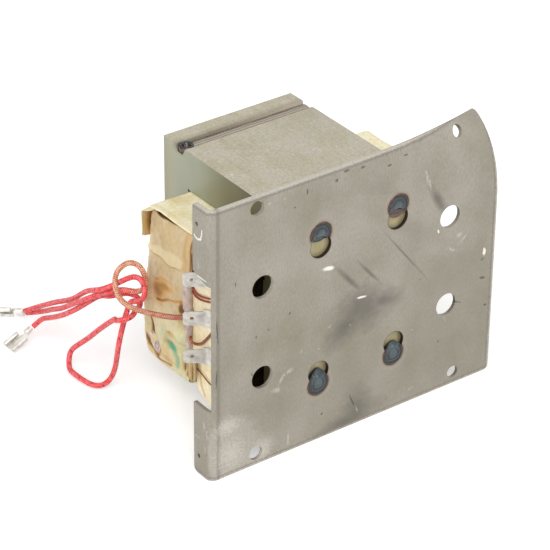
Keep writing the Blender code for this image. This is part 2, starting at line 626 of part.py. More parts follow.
# Filament leads: sleeved wires that leave the slot beside the middle terminal, tie round themselves and
# reach the surface that the transformer stands on. Route points are measured from the lead's exit.
FROM_COIL = [(0, 0, 0), (-5.8, 0, 1.8), (-10.8, 4.9, 1.7), (-20.3, 17.5, 2.9), (-20.6, 24.4, 6.6),
             (-17.8, 29.3, 11.9), (-14.3, 29.1, 14.8), (-10.2, 28.8, 15.7), (-6.9, 26.7, 13.4),
             (-6.5, 24, 10.3), (-6.6, 22.7, 6.4), (-7.7, 24.5, 2.6), (-10.2, 27.9, 1.7), (-13.4, 30.5, 2.9),
             (-18.2, 33.6, 1.3), (-17.6, 37.5, -0.7), (-21.9, 48.1, -8.6), (-20.7, 59.6, -17),
             (-18.6, 70.7, -25.3), (-15.6, 82.9, -32.7), (-12.1, 93.5, -40.5), (-16.2, 102.6, -44.4)]
JUMPER = [(-17.6, 101.4, -42.2), (-15, 88.2, -33.2), (-16.7, 74.7, -24.2), (-17.7, 60.8, -16.1),
          (-18.9, 49.1, -4.7), (-21.8, 35.3, 2.4), (-16.2, 30.2, 6.3), (-10.4, 27, 10.1),
          (-9.3, 21.5, 10.6), (-10.1, 17.6, 5.6), (-11.4, 20.2, 0.7), (-11.5, 26.2, -1.1),
          (-11, 29.5, -4.7), (-16.6, 26.8, -14), (-18.4, 27.5, -24), (-14, 35.9, -39), (-16.8, 37.9, -46.4),
          (-22, 41.2, -47.7), (-23.6, 53.2, -46.7), (-22.4, 59.8, -48.4), (-20.2, 62.2, -42.6),
          (-19.1, 61.1, -39.5), (-17.6, 51.3, -30.7), (-17.5, 38.7, -17.4), (-17.4, 28.6, -8.7),
          (-20.8, 26.3, -7.2), (-21.6, 21.1, -4.8), (-16.6, 18.7, -3.9), (-12.9, 21.6, -3),
          (-10.8, 25.7, -6.8), (-5.1, 27.3, -5), (-5.9, 34.5, -3.5), (-11.6, 35.2, -2.5),
          (-15.1, 39.2, -4.9), (-15.5, 43.5, -5.2), (-18.5, 54.1, -15.9), (-20, 66.8, -26.3),
          (-18.9, 81.2, -35.2), (-18.1, 86.3, -37.9), (-22.6, 87.2, -41.3)]


START = EXIT + Vector((-0.31, 0.02, 0.08))
for name, route in (("filament_lead", FROM_COIL), ("jumper_lead", JUMPER)):
    tube(name, bends(eased_path([START + Vector(p) for p in route], 0.6), 6.6, 2.0), WIRE, RED)


def ribbon(points, t):
    """closed outline of a strip of thickness t along an open path"""
    left, right = [], []
    for i, p in enumerate(points):
        p = Vector(p)
        a = Vector(points[max(i - 1, 0)])
        b = Vector(points[min(i + 1, len(points) - 1)])
        d = (b - a).normalized()
        n = Vector((-d.y, d.x)) * t / 2
        left.append(tuple(p + n))
        right.append(tuple(p - n))
    return left + right[::-1]


def receptacle(name, at, along, wide, wires):
    """push-on terminal: a crimped barrel behind the wire ends, a neck and a floor with two rolled edges"""
    x = Vector(along).normalized()
    z = x.cross(Vector(wide)).normalized()
    y = z.cross(x)
    local = Matrix.Translation(Vector(at) * MM) @ Matrix((y, z, x)).transposed().to_4x4()
    half = (wires * (WIRE + 0.3) + 0.5) / 2
    oval = (arc(half - 1.4, 0, 1.4, -math.pi / 2, math.pi / 2, 6)
            + arc(1.4 - half, 0, 1.4, math.pi / 2, 3 * math.pi / 2, 6))
    barrel = outline_solid(name, [oval], 0.3, 3.6, local)
    strip = [(-1.5, -1.15), (1.5, -1.15), (1.5, -0.75), (-1.5, -0.75)]
    neck = outline_solid("neck", [strip], 3.3, 6.1, local)
    roll = [(-3.2 + 0.95 * math.cos(a), -0.05 + 0.95 * math.sin(a)) for a in
            [math.radians(d) for d in (20, 60, 100, 140, 180, 220)]]
    path = roll + [(-2.8, -0.95), (2.8, -0.95)] + [(-px, py) for px, py in reversed(roll)]
    body = outline_solid("body", [ribbon(path, 0.4)], 5.6, 13.2, local)
    return place(combine(combine(barrel, neck, "UNION"), body, "UNION"), TIN)


END_A = START + Vector(FROM_COIL[-1])
END_B = START + Vector(JUMPER[0])
END_C = START + Vector(JUMPER[-1])
receptacle("filament_terminal", (END_A + END_B) / 2 + Vector((-0.5, 0.5, -0.15)), (-0.72, 0.68, -0.08),
           END_A - END_B, 2)
receptacle("receptacle_terminal", END_C + Vector((-0.5, 0, -0.25)), (-0.92, -0.05, -0.38),
           (0.05, -0.99, 0.05), 1)

for obj in PARTS.objects:
    if obj.type == "MESH" and any(key in obj.name for key in ("plug_weld", "wrap", "winding", "paper")):
        obj.data.shade_smooth()
        obj.data.set_sharp_from_angle(angle=math.radians(35))
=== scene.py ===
"""Looks of the high voltage transformer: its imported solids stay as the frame, and each surface that shows
gets its finish here. Lengths in this file are millimetres from the plate's lower left front corner,
x right, y back, z up, the way part.py lays the object out; to_frame turns them into the frame's metres."""
import functools
import math

import bmesh
import bpy
import numpy as np
from mathutils import Euler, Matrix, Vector


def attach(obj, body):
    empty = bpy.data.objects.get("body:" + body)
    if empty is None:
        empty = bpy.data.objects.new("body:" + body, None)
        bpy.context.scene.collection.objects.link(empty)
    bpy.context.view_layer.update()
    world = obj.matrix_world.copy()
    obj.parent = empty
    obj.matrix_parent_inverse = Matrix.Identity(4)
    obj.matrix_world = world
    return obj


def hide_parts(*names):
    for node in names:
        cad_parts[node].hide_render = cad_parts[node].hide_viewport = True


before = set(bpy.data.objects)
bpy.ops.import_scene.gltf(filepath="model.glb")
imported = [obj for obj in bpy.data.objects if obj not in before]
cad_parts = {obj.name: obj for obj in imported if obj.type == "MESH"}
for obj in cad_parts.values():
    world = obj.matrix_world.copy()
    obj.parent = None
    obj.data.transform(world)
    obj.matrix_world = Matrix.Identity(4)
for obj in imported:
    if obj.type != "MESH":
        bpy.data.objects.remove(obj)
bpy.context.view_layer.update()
scene = bpy.context.scene

CORNER = np.array([71.65, 44.325, 0.0])      # frame origin, seen from the plate's corner
GAP = 0.3                                    # clearance between two pieces


def to_frame(points):
    """millimetres from the plate's corner to metres from the frame's origin"""
    return (np.asarray(points, float) - CORNER) * 0.001


# Meshes
def grid_faces(rows, cols, wrap_rows=False, wrap_cols=False):
    """corner numbers of the quads between neighbours on a grid numbered row by row"""
    r = np.arange(rows if wrap_rows else rows - 1)[:, None]
    c = np.arange(cols if wrap_cols else cols - 1)[None, :]
    r2, c2 = (r + 1) % rows, (c + 1) % cols
    quads = np.stack([r * cols + c, r * cols + c2, r2 * cols + c2, r2 * cols + c], axis=-1)
    return quads.reshape(-1, 4)


def mesh_piece(name, points, quads, mat, extra=(), values=None):
    """smooth mesh from points in millimetres, quads, and more faces of any length; values are per-point
    numbers"""
    mesh = bpy.data.meshes.new(name)
    mesh.from_pydata(to_frame(points).tolist(), [], quads.tolist() + [list(f) for f in extra])
    for key, val in (values or {}).items():
        layer = mesh.attributes.new(key, "FLOAT", "POINT")
        layer.data.foreach_set("value", np.asarray(val, np.float32).ravel())
    mesh.polygons.foreach_set("use_smooth", np.full(len(mesh.polygons), True))
    mesh.update()
    obj = bpy.data.objects.new(name, mesh)
    scene.collection.objects.link(obj)
    mesh.materials.append(mat)
    return obj


def outward(obj, merge=0.0):
    """closed piece with its faces turned to point out, and points nearer than merge metres joined"""
    bm = bmesh.new()
    bm.from_mesh(obj.data)
    if merge:
        bmesh.ops.remove_doubles(bm, verts=bm.verts[:], dist=merge)
    bmesh.ops.recalc_face_normals(bm, faces=bm.faces[:])
    bm.to_mesh(obj.data)
    bm.free()
    return obj


def mount(obj, slot, *nodes):
    """the piece rides on the only body and stands for CAD nodes, which it hides; slot is not used"""
    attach(obj, "root")
    if nodes:
        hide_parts(*nodes)
    return obj


def spline(points, piece, step):
    """points a step apart along a curve, which piece(i, p) gives span by span"""
    p = np.asarray(points, float)
    p = np.vstack([2 * p[0] - p[1], p, 2 * p[-1] - p[-2]])
    return evenly(np.vstack([piece(i, p) for i in range(len(p) - 3)] + [p[-2:-1]]), step)


def smooth_line(points, step):
    """centripetal Catmull-Rom curve through the points"""
    def piece(i, p):
        q = p[i:i + 4]
        far = np.maximum(np.linalg.norm(np.diff(q, axis=0), axis=1), 1e-9)
        t = np.concatenate([[0], np.cumsum(far ** 0.5)])
        s = np.linspace(t[1], t[2], 24, endpoint=False)[:, None]
        a = [q[k] + (q[k + 1] - q[k]) * (s - t[k]) / (t[k + 1] - t[k]) for k in range(3)]
        b = [a[k] + (a[k + 1] - a[k]) * (s - t[k]) / (t[k + 2] - t[k]) for k in range(2)]
        return b[0] + (b[1] - b[0]) * (s - t[1]) / (t[2] - t[1])
    return spline(points, piece, step)


def eased_line(points, step):
    """uniform cubic B-spline that passes near the points"""
    t = np.linspace(0, 1, 24, endpoint=False)[:, None]
    w = [(1 - t) ** 3, 3 * t ** 3 - 6 * t ** 2 + 4, -3 * t ** 3 + 3 * t ** 2 + 3 * t + 1, t ** 3]
    return spline(points, lambda i, p: sum(w[k] * p[i + k] for k in range(4)) / 6, step)


def unit(value):
    """the value, held between 0 and 1"""
    return np.clip(value, 0, 1)


def run_along(line):
    """length from the start to each point of a polyline"""
    return np.concatenate([[0], np.cumsum(np.linalg.norm(np.diff(line, axis=0), axis=1))])


def evenly(line, step):
    """points a step apart along a polyline"""
    run = run_along(line)
    s = np.linspace(0, run[-1], max(2, round(run[-1] / step)) + 1)
    return np.stack([np.interp(s, run, line[:, k]) for k in range(line.shape[1])], axis=1)


def tube_points(path, radius, sides):
    """rings of a round tube: each ring turns with the path by the least rotation from the one before"""
    t = np.gradient(path, axis=0)
    t /= np.linalg.norm(t, axis=1)[:, None]
    n = np.cross(t[0], [0.3, 0.1, 0.95])
    n /= np.linalg.norm(n)
    rings, ang = [], np.linspace(0, 2 * math.pi, sides, endpoint=False)
    radius = np.broadcast_to(radius, len(path))
    for k in range(len(path)):
        n = n - t[k] * (n @ t[k])
        n /= np.linalg.norm(n)
        b = np.cross(t[k], n)
        rings.append(path[k] + radius[k] * (np.cos(ang)[:, None] * n + np.sin(ang)[:, None] * b))
    return np.array(rings)


def tube_piece(name, path, radius, sides, mat, values=None):
    """round tube with closed ends; its attributes say how far along it and in which direction round it"""
    rows = len(path)
    last = (rows - 1) * sides
    pts = np.vstack([tube_points(path, radius, sides).reshape(-1, 3), path[:1], path[-1:]])
    caps = [(rows * sides, (i + 1) % sides, i) for i in range(sides)]
    caps += [(rows * sides + 1, last + i, last + (i + 1) % sides) for i in range(sides)]
    run = run_along(path)
    turn = 2 * math.pi * np.concatenate([np.tile(np.arange(sides) / sides, rows), [0, 0]])
    vals = {"along": np.concatenate([np.repeat(run, sides), [0, run[-1]]]), "ring_x": np.cos(turn),
            "ring_y": np.sin(turn), **(values or {})}
    return outward(mesh_piece(name, pts, grid_faces(rows, sides, wrap_cols=True), mat, caps, vals))


# Materials
def colour(code):
    """sRGB hex colour as linear values"""
    c = np.array([int(code[i:i + 2], 16) for i in (0, 2, 4)]) / 255
    return (*np.where(c <= 0.04045, c / 12.92, ((c + 0.055) / 1.055) ** 2.4), 1.0)


def fill(node, sockets):
    """each socket, in order or by name, takes a value, or a link from another node's output"""
    for key, val in sockets.items() if isinstance(sockets, dict) else enumerate(sockets):
        if isinstance(val, bpy.types.NodeSocket):
            node.id_data.links.new(val, node.inputs[key])
        else:
            node.inputs[key].default_value = val


def add_node(tree, kind, sockets=(), out=0, stops=(), **settings):
    """one output of a new node with its settings and links; a second word in kind is the operation, and stops
    are a ramp's places and hex colours"""
    kind, _, operation = kind.partition(" ")
    n = tree.nodes.new("ShaderNode" + kind)
    for key, val in {**settings, **({"operation": operation} if operation else {})}.items():
        setattr(n, key, val)
    for _ in stops[2:]:
        n.color_ramp.elements.new(0.5)
    for e, (at, code) in zip(n.color_ramp.elements, stops) if stops else ():
        e.position, e.color = at, colour(code)
    fill(n, sockets)
    return n.outputs[out]


def finish_of(name, **sockets):
    """new material, add_node for its tree, its shader, and the place in millimetres from the plate's
    corner"""
    mat = bpy.data.materials.new(name)
    mat.use_nodes = True
    add = functools.partial(add_node, mat.node_tree)
    shader = mat.node_tree.nodes["Principled BSDF"]
    fill(shader, sockets)
    place = add("TexCoord", out="Object")
    return mat, add, shader, add("VectorMath MULTIPLY_ADD", (place, (1000, 1000, 1000), tuple(CORNER)))


def grained(name, step, detail, stops, deep, strength, rim=0.0, reach=1.0, **sockets):
    """finish whose colour and relief follow one noise of so many millimetres a step and deep; with rim, the
    attribute of that name plus so much of the noise picks the colour, up to reach"""
    mat, add, shader, at = finish_of(name, **sockets)
    noise = add("TexNoise", {"Vector": add("VectorMath DIVIDE", (at, step)), "Scale": 1.0, "Detail": detail})
    pick = noise
    if rim:
        pick = add("Math MULTIPLY_ADD", (noise, rim, add("Attribute", out="Fac", attribute_name="rim")))
        pick = add("MapRange", (pick, 0.0, reach))
    fill(shader, {"Base Color": add("ValToRGB", (pick,), stops=stops),
                  "Normal": add("Bump", {"Height": noise, "Distance": deep * 0.001, "Strength": strength})})
    return mat


def marked(add, at, marks, ragged, soft, share, code):
    """layer of a colour, as the way to mix it, its share inside the marks and itself: each mark is a centre
    x, y, z, half its length, half its width and a turn in degrees on the plate's face; ragged noise eats into
    their edges"""
    far = []
    for x, y, z, long, wide, turn in marks:
        size = np.array([long, 2.5 if y == 0 else long, wide])
        here = at
        if turn:
            here = add("VectorRotate", {"Vector": at, "Center": (x, y, z), "Angle": math.radians(turn)},
                       rotation_type="Y_AXIS")
        here = add("VectorMath DIVIDE", (here, tuple(size)))
        far.append(add("VectorMath DISTANCE", (here, tuple(np.array([x, y, z]) / size)), "Value"))
    near = functools.reduce(lambda a, b: add("Math MINIMUM", (a, b)), far)
    near = add("Math ADD", (near, ragged))
    return "MIX", add("Math MULTIPLY", (add("MapRange", (near, 1.0 + soft, 1.0 - soft)), share)), colour(code)


# pale marks: the two low on the left are rubbed zinc, the one at the upper right, where the plate curls back,
# a painted sheen
RUBBED_AND_SHEEN = [(9, 0, 12, 15, 15, 0), (18, 0, 5, 13, 7, 20), (141, 0, 117, 5, 12, -40)]
SMUDGES = [(75, 0, 55, 11, 8, -8), (66, 0, 49, 9, 5, 35), (85, 0, 55, 7, 4, -10), (75, 0, 54, 6, 5, 0),
           (74, 0, 57, 8, 7, 0), (73, 0, 6, 6, 9, 0), (66, 0, 2, 14, 4, 12), (68, 0, 70, 9, 1.0, -50),
           (78, 0, 70, 7, 0.6, -50), (96, 0, 72, 13, 0.35, -52), (112, 0, 92, 7, 1.6, -60)]
FILMS = [(70, 0, 22, 42, 16, 0), (118, 0, 28, 22, 18, 10), (120, 0, 52, 16, 10, 0), (95, 0, 86, 18, 3, -35)]
CHIPS = [(57.0, 0, 79.6, 2.8, 0.9, -10), (73.9, 0, 60.3, 2.2, 0.5, -8), (137.8, 0, 59.4, 0.8, 1.7, 0),
         (112.6, 0, 77.5, 0.4, 1.0, 20), (0, 10.0, 109.6, 0.6, 0.35, 0), (0, 9.0, 108.9, 0.9, 0.38, 0),
         (0, 7.7, 108.7, 1.0, 0.38, 0), (0, 6.5, 109.2, 0.7, 0.5, 0), (0, 5.7, 110.3, 0.4, 0.9, 0),
         (0, 5.2, 112.0, 0.35, 1.1, 0), (0, 5.1, 113.4, 0.35, 0.6, 0), (0, 7.0, 92.4, 4.4, 0.3, 0)]
SCUFFS = [(126.1, 0, 69.7, 3.0, 0.5, 35), (120.3, 0, 66.3, 2.2, 0.7, -30), (123.6, 0, 72.0, 1.8, 1.2, 0),
          (34.8, 0, 36.5, 3.4, 1.0, 48), (32.1, 0, 32.0, 2.8, 1.4, -10), (38.2, 0, 38.6, 2.4, 1.2, 20),
          (105.6, 0, 104.6, 0.7, 4.0, 12), (107.2, 0, 101.0, 0.6, 3.4, 10), (58.2, 0, 52.1, 0.5, 0.9, 0),
          (44.2, 0, 45.5, 0.5, 0.9, 0), (68.4, 0, 49.2, 0.4, 0.7, 0), (38.2, 0, 6.2, 0.6, 3.6, 0),
          (101.1, 0, 6.0, 1.6, 0.5, 20), (53.0, 0, 43.5, 0.4, 0.6, 0), (90.0, 0, 96.0, 0.5, 0.4, 0),
          (100.7, 0, 34.9, 0.5, 0.5, 0), (118.0, 0, 34.0, 0.4, 1.8, 30), (27.8, 0, 118.6, 1.2, 0.5, 0),
          (35.2, 0, 118.2, 0.8, 0.4, 0), (73.0, 0, 6.6, 0.5, 1.6, 15), (0, 4.4, 24.8, 0.9, 2.6, 0),
          (0, 8.8, 17.6, 2.4, 0.5, 0), (0, 3.8, 14.0, 0.6, 2.4, 0), (0, 2.6, 21.0, 0.5, 2.8, 0),
          (0, 5.4, 63.0, 0.5, 2.0, 0), (0, 7.6, 97.0, 0.5, 2.2, 0), (8.0, 0, 24.0, 7.0, 5.0, 0),
          (10.0, 0, 10.0, 9.0, 9.0, 0), (24.5, 0, 5.6, 5.6, 5.6, 0)]
# dark nicks; the two long ones at x 3.0 and 3.4 lie on the line where the flange is bent and are painted
# shade
NICKS_AND_BEND_SHADE = [(45.9, 0, 117.9, 0.35, 1.3, 0), (64.6, 0, 121.0, 1.3, 0.6, 0), (72.8, 0, 119.9, 1.1, 0.5, 0),
         (38.2, 0, 65.7, 0.5, 0.6, 0), (27.7, 0, 61.8, 0.4, 0.4, 0), (86.0, 0, 116.5, 1.0, 0.5, 0),
         (60.0, 0, 118.2, 0.6, 0.8, 0), (22.0, 0, 60.5, 0.4, 0.7, 0), (136.8, 0, 56.0, 0.8, 0.4, 30),
         (3.4, 0, 70.0, 0.4, 5.0, 4), (3.0, 0, 48.0, 0.35, 4.0, -4), (94.5, 0, 118.4, 1.2, 0.4, 0),
         (40.0, 0, 112.8, 0.4, 0.4, 0), (124.0, 0, 40.0, 3.0, 0.3, -24), (137.4, 0, 47.0, 1.6, 0.6, -20),
         (139.8, 0, 33.0, 1.0, 0.5, -20), (55.0, 0, 11.5, 0.5, 0.5, 0), (115.0, 0, 24.0, 0.5, 0.4, 0),
         (48.0, 0, 24.5, 0.4, 0.4, 0), (131.0, 0, 121.0, 1.0, 0.4, 30), (20.0, 0, 44.0, 0.3, 0.9, 0),
         (12.0, 0, 88.0, 0.3, 0.9, 0), (104.0, 0, 58.0, 0.3, 0.3, 0), (70.4, 0, 12.0, 0.4, 3.4, 24)]


def zinc_steel():
    """Zinc-plated cold-rolled sheet, handled and stored: grey with a warm cast, cloudy where the passivation
    is uneven, greasy smudges, a rubbed pale corner, chips of bare zinc, dark nicks along the edges, brown
    heat tint close round the welds, and dark brown walls in the welded holes. Painted light too: a sheen on
    the curled upper right corner, a pale sheared rim that is partly worn and partly a highlight, a band of
    shade just inside it where the edge turns away, and shade along the line where the flange is bent."""
    mat, add, shader, at = finish_of("zinc_plated_steel", Metallic=0.4, Roughness=0.5)
    rows = (((26, 26, 34), {"Detail": 5.0, "Roughness": 0.55}), ((0.7, 0.7, 1.6), {"Detail": 4.0}),
            ((5, 5, 3.2), {"Detail": 6.0, "Roughness": 0.7, "Distortion": 0.5}),
            ((1.2, 1.2, 1.2), {"Detail": 6.0, "Roughness": 0.8}), ((1.1, 1.1, 1.1), {"Detail": 5.0}))
    clouds, grain, wisps, torn, pits = (
        add("TexNoise", {"Vector": add("VectorMath DIVIDE", (at, step)), "Scale": 1.0, **more})
        for step, more in rows)
    ragged = add("Math MULTIPLY_ADD", (wisps, 1.5, -0.75))
    speck = add("Math MULTIPLY_ADD", (grain, 1.6, -0.8))
    shreds = add("Math MULTIPLY_ADD", (torn, 5.2, -2.15))
    tone = add("ValToRGB", (clouds,),
               stops=[(0.30, "8E8A77"), (0.44, "999386"), (0.55, "A09A8E"), (0.70, "A8A096")])
    fine = add("ValToRGB", (grain,), stops=[(0.3, "DCDAD6"), (0.7, "FFFFFF")])
    # heat round the weld pools, and the dark brown walls of the punched holes
    part = add("SeparateXYZ", (at,)).node.outputs
    flat = add("VectorMath MULTIPLY", (at, (1, 0, 1)))
    near, wall = (
        functools.reduce(lambda a, b: add("Math MINIMUM", (a, b)),
                         [add("VectorMath DISTANCE", (flat, (x, 0, z)), "Value") for x, z in spots])
        for spots in (POOLS, PLUGS))
    near = add("MapRange", (add("Math MULTIPLY_ADD", (ragged, 0.9, near)), 5.0, 8.6))
    tint = add("ValToRGB", (near,), stops=[(0.0, "5E4F46"), (0.14, "86766A"), (0.28, "988C7E"),
                                           (0.6, "A39A8A"), (1.0, "9C958A")])
    wall = add("MapRange", (wall, PLUG_R + 0.25, PLUG_R + 0.05))
    # the sheared edges: a pale rim, partly worn and partly painted highlight, with painted shade just inside
    # it where the edge turns away; and painted shade along the line where the flange is bent
    top, right = (add("Math SUBTRACT", (size, part[axis])) for size, axis in ((PLATE_H, "Z"), (PLATE_W, "X")))
    rim = add("Math MINIMUM", (add("Math MINIMUM", (top, right)), part["Z"]))
    rim = add("Math MULTIPLY_ADD", (speck, 1.3, rim))
    burr_and_edge_shade = add("ValToRGB", (add("MapRange", (rim, 0.0, 3.2)),),
               stops=[(0.0, "D2CCC0"), (0.12, "B4ADA2"), (0.26, "A09A8F"), (0.44, "69645C"),
                      (0.62, "86817A"), (1.0, "9C958A")])
    place = add("Math MULTIPLY_ADD", (ragged, 0.8, part["X"]))
    bend_shade = add("Math MULTIPLY", (add("MapRange", (place, 5.2, 4.0)), add("MapRange", (place, 2.7, 3.3))))
    layers = (("MULTIPLY", 0.6, fine),
              marked(add, at, RUBBED_AND_SHEEN, add("Math MULTIPLY", (ragged, 0.6)), 0.16, 0.42, "BDB6AE"),
              marked(add, at, SMUDGES, ragged, 0.75, 0.72, "5A554F"),
              marked(add, at, FILMS, ragged, 0.9, 0.34, "757260"),
              ("MIX", add("MapRange", (near, 0.8, 0.12)), tint), ("MIX", wall, colour("33241C")),
              marked(add, at, NICKS_AND_BEND_SHADE, speck, 0.2, 0.75, "4A453E"),
              # painted light: the rim's pale edge and the shade inside it, then shade along the line where
              # the flange is bent
              ("MIX", add("MapRange", (rim, 2.6, 1.2, 0.0, 0.72)), burr_and_edge_shade),
              ("MIX", add("Math MULTIPLY", (bend_shade, 0.42)), colour("625D56")),
              marked(add, at, SCUFFS, shreds, 0.5, 0.42, "D8D3CA"),
              marked(add, at, CHIPS, speck, 0.3, 0.92, "EFEBE2"))
    for way, share, over in layers:
        tone = add("Mix", {0: share, 6: tone, 7: over}, 2, data_type="RGBA", blend_type=way)
    fill(shader, {"Base Color": tone, "Roughness": add("MapRange", (wisps, 0.0, 1.0, 0.42, 0.62)),
                  "Normal": add("Bump", {"Height": pits, "Distance": 0.05 * 0.001, "Strength": 0.5})})
    return mat


def varnished_core():
    """Electrical steel laminations under thin varnish: the cut edges on the top and bottom show as faint
    streaks along the pile, patchy beige and olive with fine specks; the outer lamination is smooth grey-green
    and turns olive-brown towards the mounting plate, with a yellow run of varnish near its back edge."""
    mat, add, shader, at = finish_of("varnished_laminations", Metallic=0.2, Roughness=0.45)
    part = add("SeparateXYZ", (at,)).node.outputs
    rows = (((11, 15, 15), {"Detail": 5.0, "Roughness": 0.6, "Distortion": 0.4}),
            ((0.6, 60, 60), {"Detail": 2.0}), ((0.9, 0.9, 0.9), {"Detail": 3.0}), ((12, 12, 30), {}))
    patches, edges, speck, drift = (
        add("TexNoise", {"Vector": add("VectorMath DIVIDE", (at, step)), "Scale": 1.0, **more})
        for step, more in rows)
    top = add("ValToRGB", (patches,),
              stops=[(0.30, "B8B199"), (0.44, "BFB8A2"), (0.54, "C5BEAD"), (0.68, "C8C0B3")])
    streaks = add("ValToRGB", (edges,), stops=[(0.30, "D2CEC4"), (0.5, "F6F4F0"), (0.68, "FFFFFF")])
    grit = add("ValToRGB", (speck,), stops=[(0.32, "CFCBBE"), (0.5, "F2F0EA"), (0.7, "FFFFFF")])
    layers = (("MULTIPLY", 0.32, streaks), ("MULTIPLY", 0.6, grit),
              ("MIX", add("MapRange", (speck, 0.70, 0.74)), colour("F2EFE4")))
    for way, share, over in layers:
        top = add("Mix", {0: share, 6: top, 7: over}, 2, data_type="RGBA", blend_type=way)
    # the outer lamination, from the plate to the back
    depth = add("Math MULTIPLY_ADD", (drift, 0.05, add("MapRange", (part["Y"], 2.0, 90.0))))
    face = add("ValToRGB", (depth,),
               stops=[(0.10, "514B30"), (0.34, "5E583C"), (0.50, "706C51"), (0.62, "84836A"),
                      (0.76, "989B87"), (0.92, "9FA38F"), (0.97, "A8A488"), (1.0, "A0A08A")])
    cloudy = add("MapRange", (drift, 0.0, 1.0, 0.9, 1.06))
    face = add("Mix", {0: 1.0, 6: face, 7: cloudy}, 2, data_type="RGBA", blend_type="MULTIPLY")
    normal = add("SeparateXYZ", (add("NewGeometry", out="Normal"),)).node.outputs
    side = add("MapRange", (add("Math ABSOLUTE", (normal["X"],)), 0.6, 0.9))
    # the front, which the punched holes show
    near = add("Math LESS_THAN", (part["Y"], 20.0))
    front = add("Math MULTIPLY", (add("MapRange", (normal["Y"], -0.6, -0.9)), near))
    coat = add("ValToRGB", (patches,), stops=[(0.35, "958A62"), (0.65, "B3A884")])
    # scorched beside the seam welds
    seam = add("Math ABSOLUTE", (add("Math SUBTRACT", (part["Y"], SEAM_Y)),))
    heat = add("MapRange", (add("Math MULTIPLY_ADD", (drift, 1.5, seam)), 6.0, 2.6))
    high = add("Math ABSOLUTE", (add("Math SUBTRACT", (part["Z"], CORE_H / 2)),))
    high = add("MapRange", (high, CORE_H / 2 - 4.0, CORE_H / 2 - 1.5))
    scorch = add("Math MULTIPLY", (add("Math MULTIPLY", (heat, high)), 0.7))
    dot = [(40, 71.8, 87.2, 0.7, 0.7, 0)]
    layers = (("MIX", side, face), ("MIX", front, coat), ("MIX", scorch, colour("857A6C")),
              marked(add, at, dot, add("Math MULTIPLY", (speck, 0.2)), 0.2, 1.0, "2E2A20"))
    for way, share, over in layers:
        top = add("Mix", {0: share, 6: top, 7: over}, 2, data_type="RGBA", blend_type=way)
    ridges = add("Math MULTIPLY", (add("Math MULTIPLY_ADD", (side, -1.0, 1.0)), edges))
    fill(shader, {"Base Color": top,
                  "Normal": add("Bump", {"Height": ridges, "Distance": 0.08 * 0.001, "Strength": 0.5})})
    return mat


def coil_paper(name, tones, low_tones):
    """Insulating paper round a coil, dipped in varnish: fibrous, satin, cloudy where the varnish pooled. The
    attributes (0 to 1) change it: stain to ochre and scorched brown, its darkest end standing for painted
    shade, cool to green, pale to light cream, foil to a wrinkled metal foil underneath, pinkish grey with the
    glints and shade of its wrinkles painted in, low to the second set of tones."""
    mat, add, shader, at = finish_of(name, Roughness=0.45, IOR=1.48)
    rows = (((1.4, 1.4, 2.4), {"Detail": 5.0, "Distortion": 0.8}),
            ((8, 8, 11), {"Detail": 4.0, "Roughness": 0.6}),
            ((1.2, 1.2, 3.5), {"Detail": 4.0, "Distortion": 1.2}))
    fibre, pooled, creases = (
        add("TexNoise", {"Vector": add("VectorMath DIVIDE", (at, step)), "Scale": 1.0, **more})
        for step, more in rows)
    low, pale, stain, cool, foil = (
        add("Attribute", out="Fac", attribute_name=key) for key in ("low", "pale", "stain", "cool", "foil"))
    base, under = (add("ValToRGB", (pooled,), stops=stops) for stops in (tones, low_tones))
    hair = add("ValToRGB", (fibre,), stops=[(0.32, "EAE4D8"), (0.6, "FFFFFF")])
    stain = add("Math MULTIPLY", (stain, add("Math MULTIPLY_ADD", (fibre, 0.5, 0.75))))
    # the darkest end also serves as painted shade in the secondary's slit and creases
    burnt_and_shade = add("ValToRGB", (stain,),
                stops=[(0.05, "D8B572"), (0.4, "BE924F"), (0.7, "7E5A30"), (1.0, "3A2A18")])
    # the foil: pinkish grey with painted glints and painted shade of its wrinkles
    foil_sheen_and_shade = add("ValToRGB", (creases,),
                 stops=[(0.34, "5C4A44"), (0.44, "A8989A"), (0.54, "D8D2D6"), (0.64, "FBF8FA")])
    layers = (("MIX", low, under), ("MULTIPLY", 0.7, hair), ("MIX", pale, colour("E6D8AC")),
              ("MIX", add("MapRange", (stain, 0.0, 0.45)), burnt_and_shade), ("MIX", cool, colour("4F9C7C")),
              ("MIX", foil, foil_sheen_and_shade))
    for way, share, over in layers:
        base = add("Mix", {0: share, 6: base, 7: over}, 2, data_type="RGBA", blend_type=way)
    fill(shader, {"Base Color": base,
                  "Normal": add("Bump", {"Height": fibre, "Distance": 0.06 * 0.001, "Strength": 0.5})})
    return mat


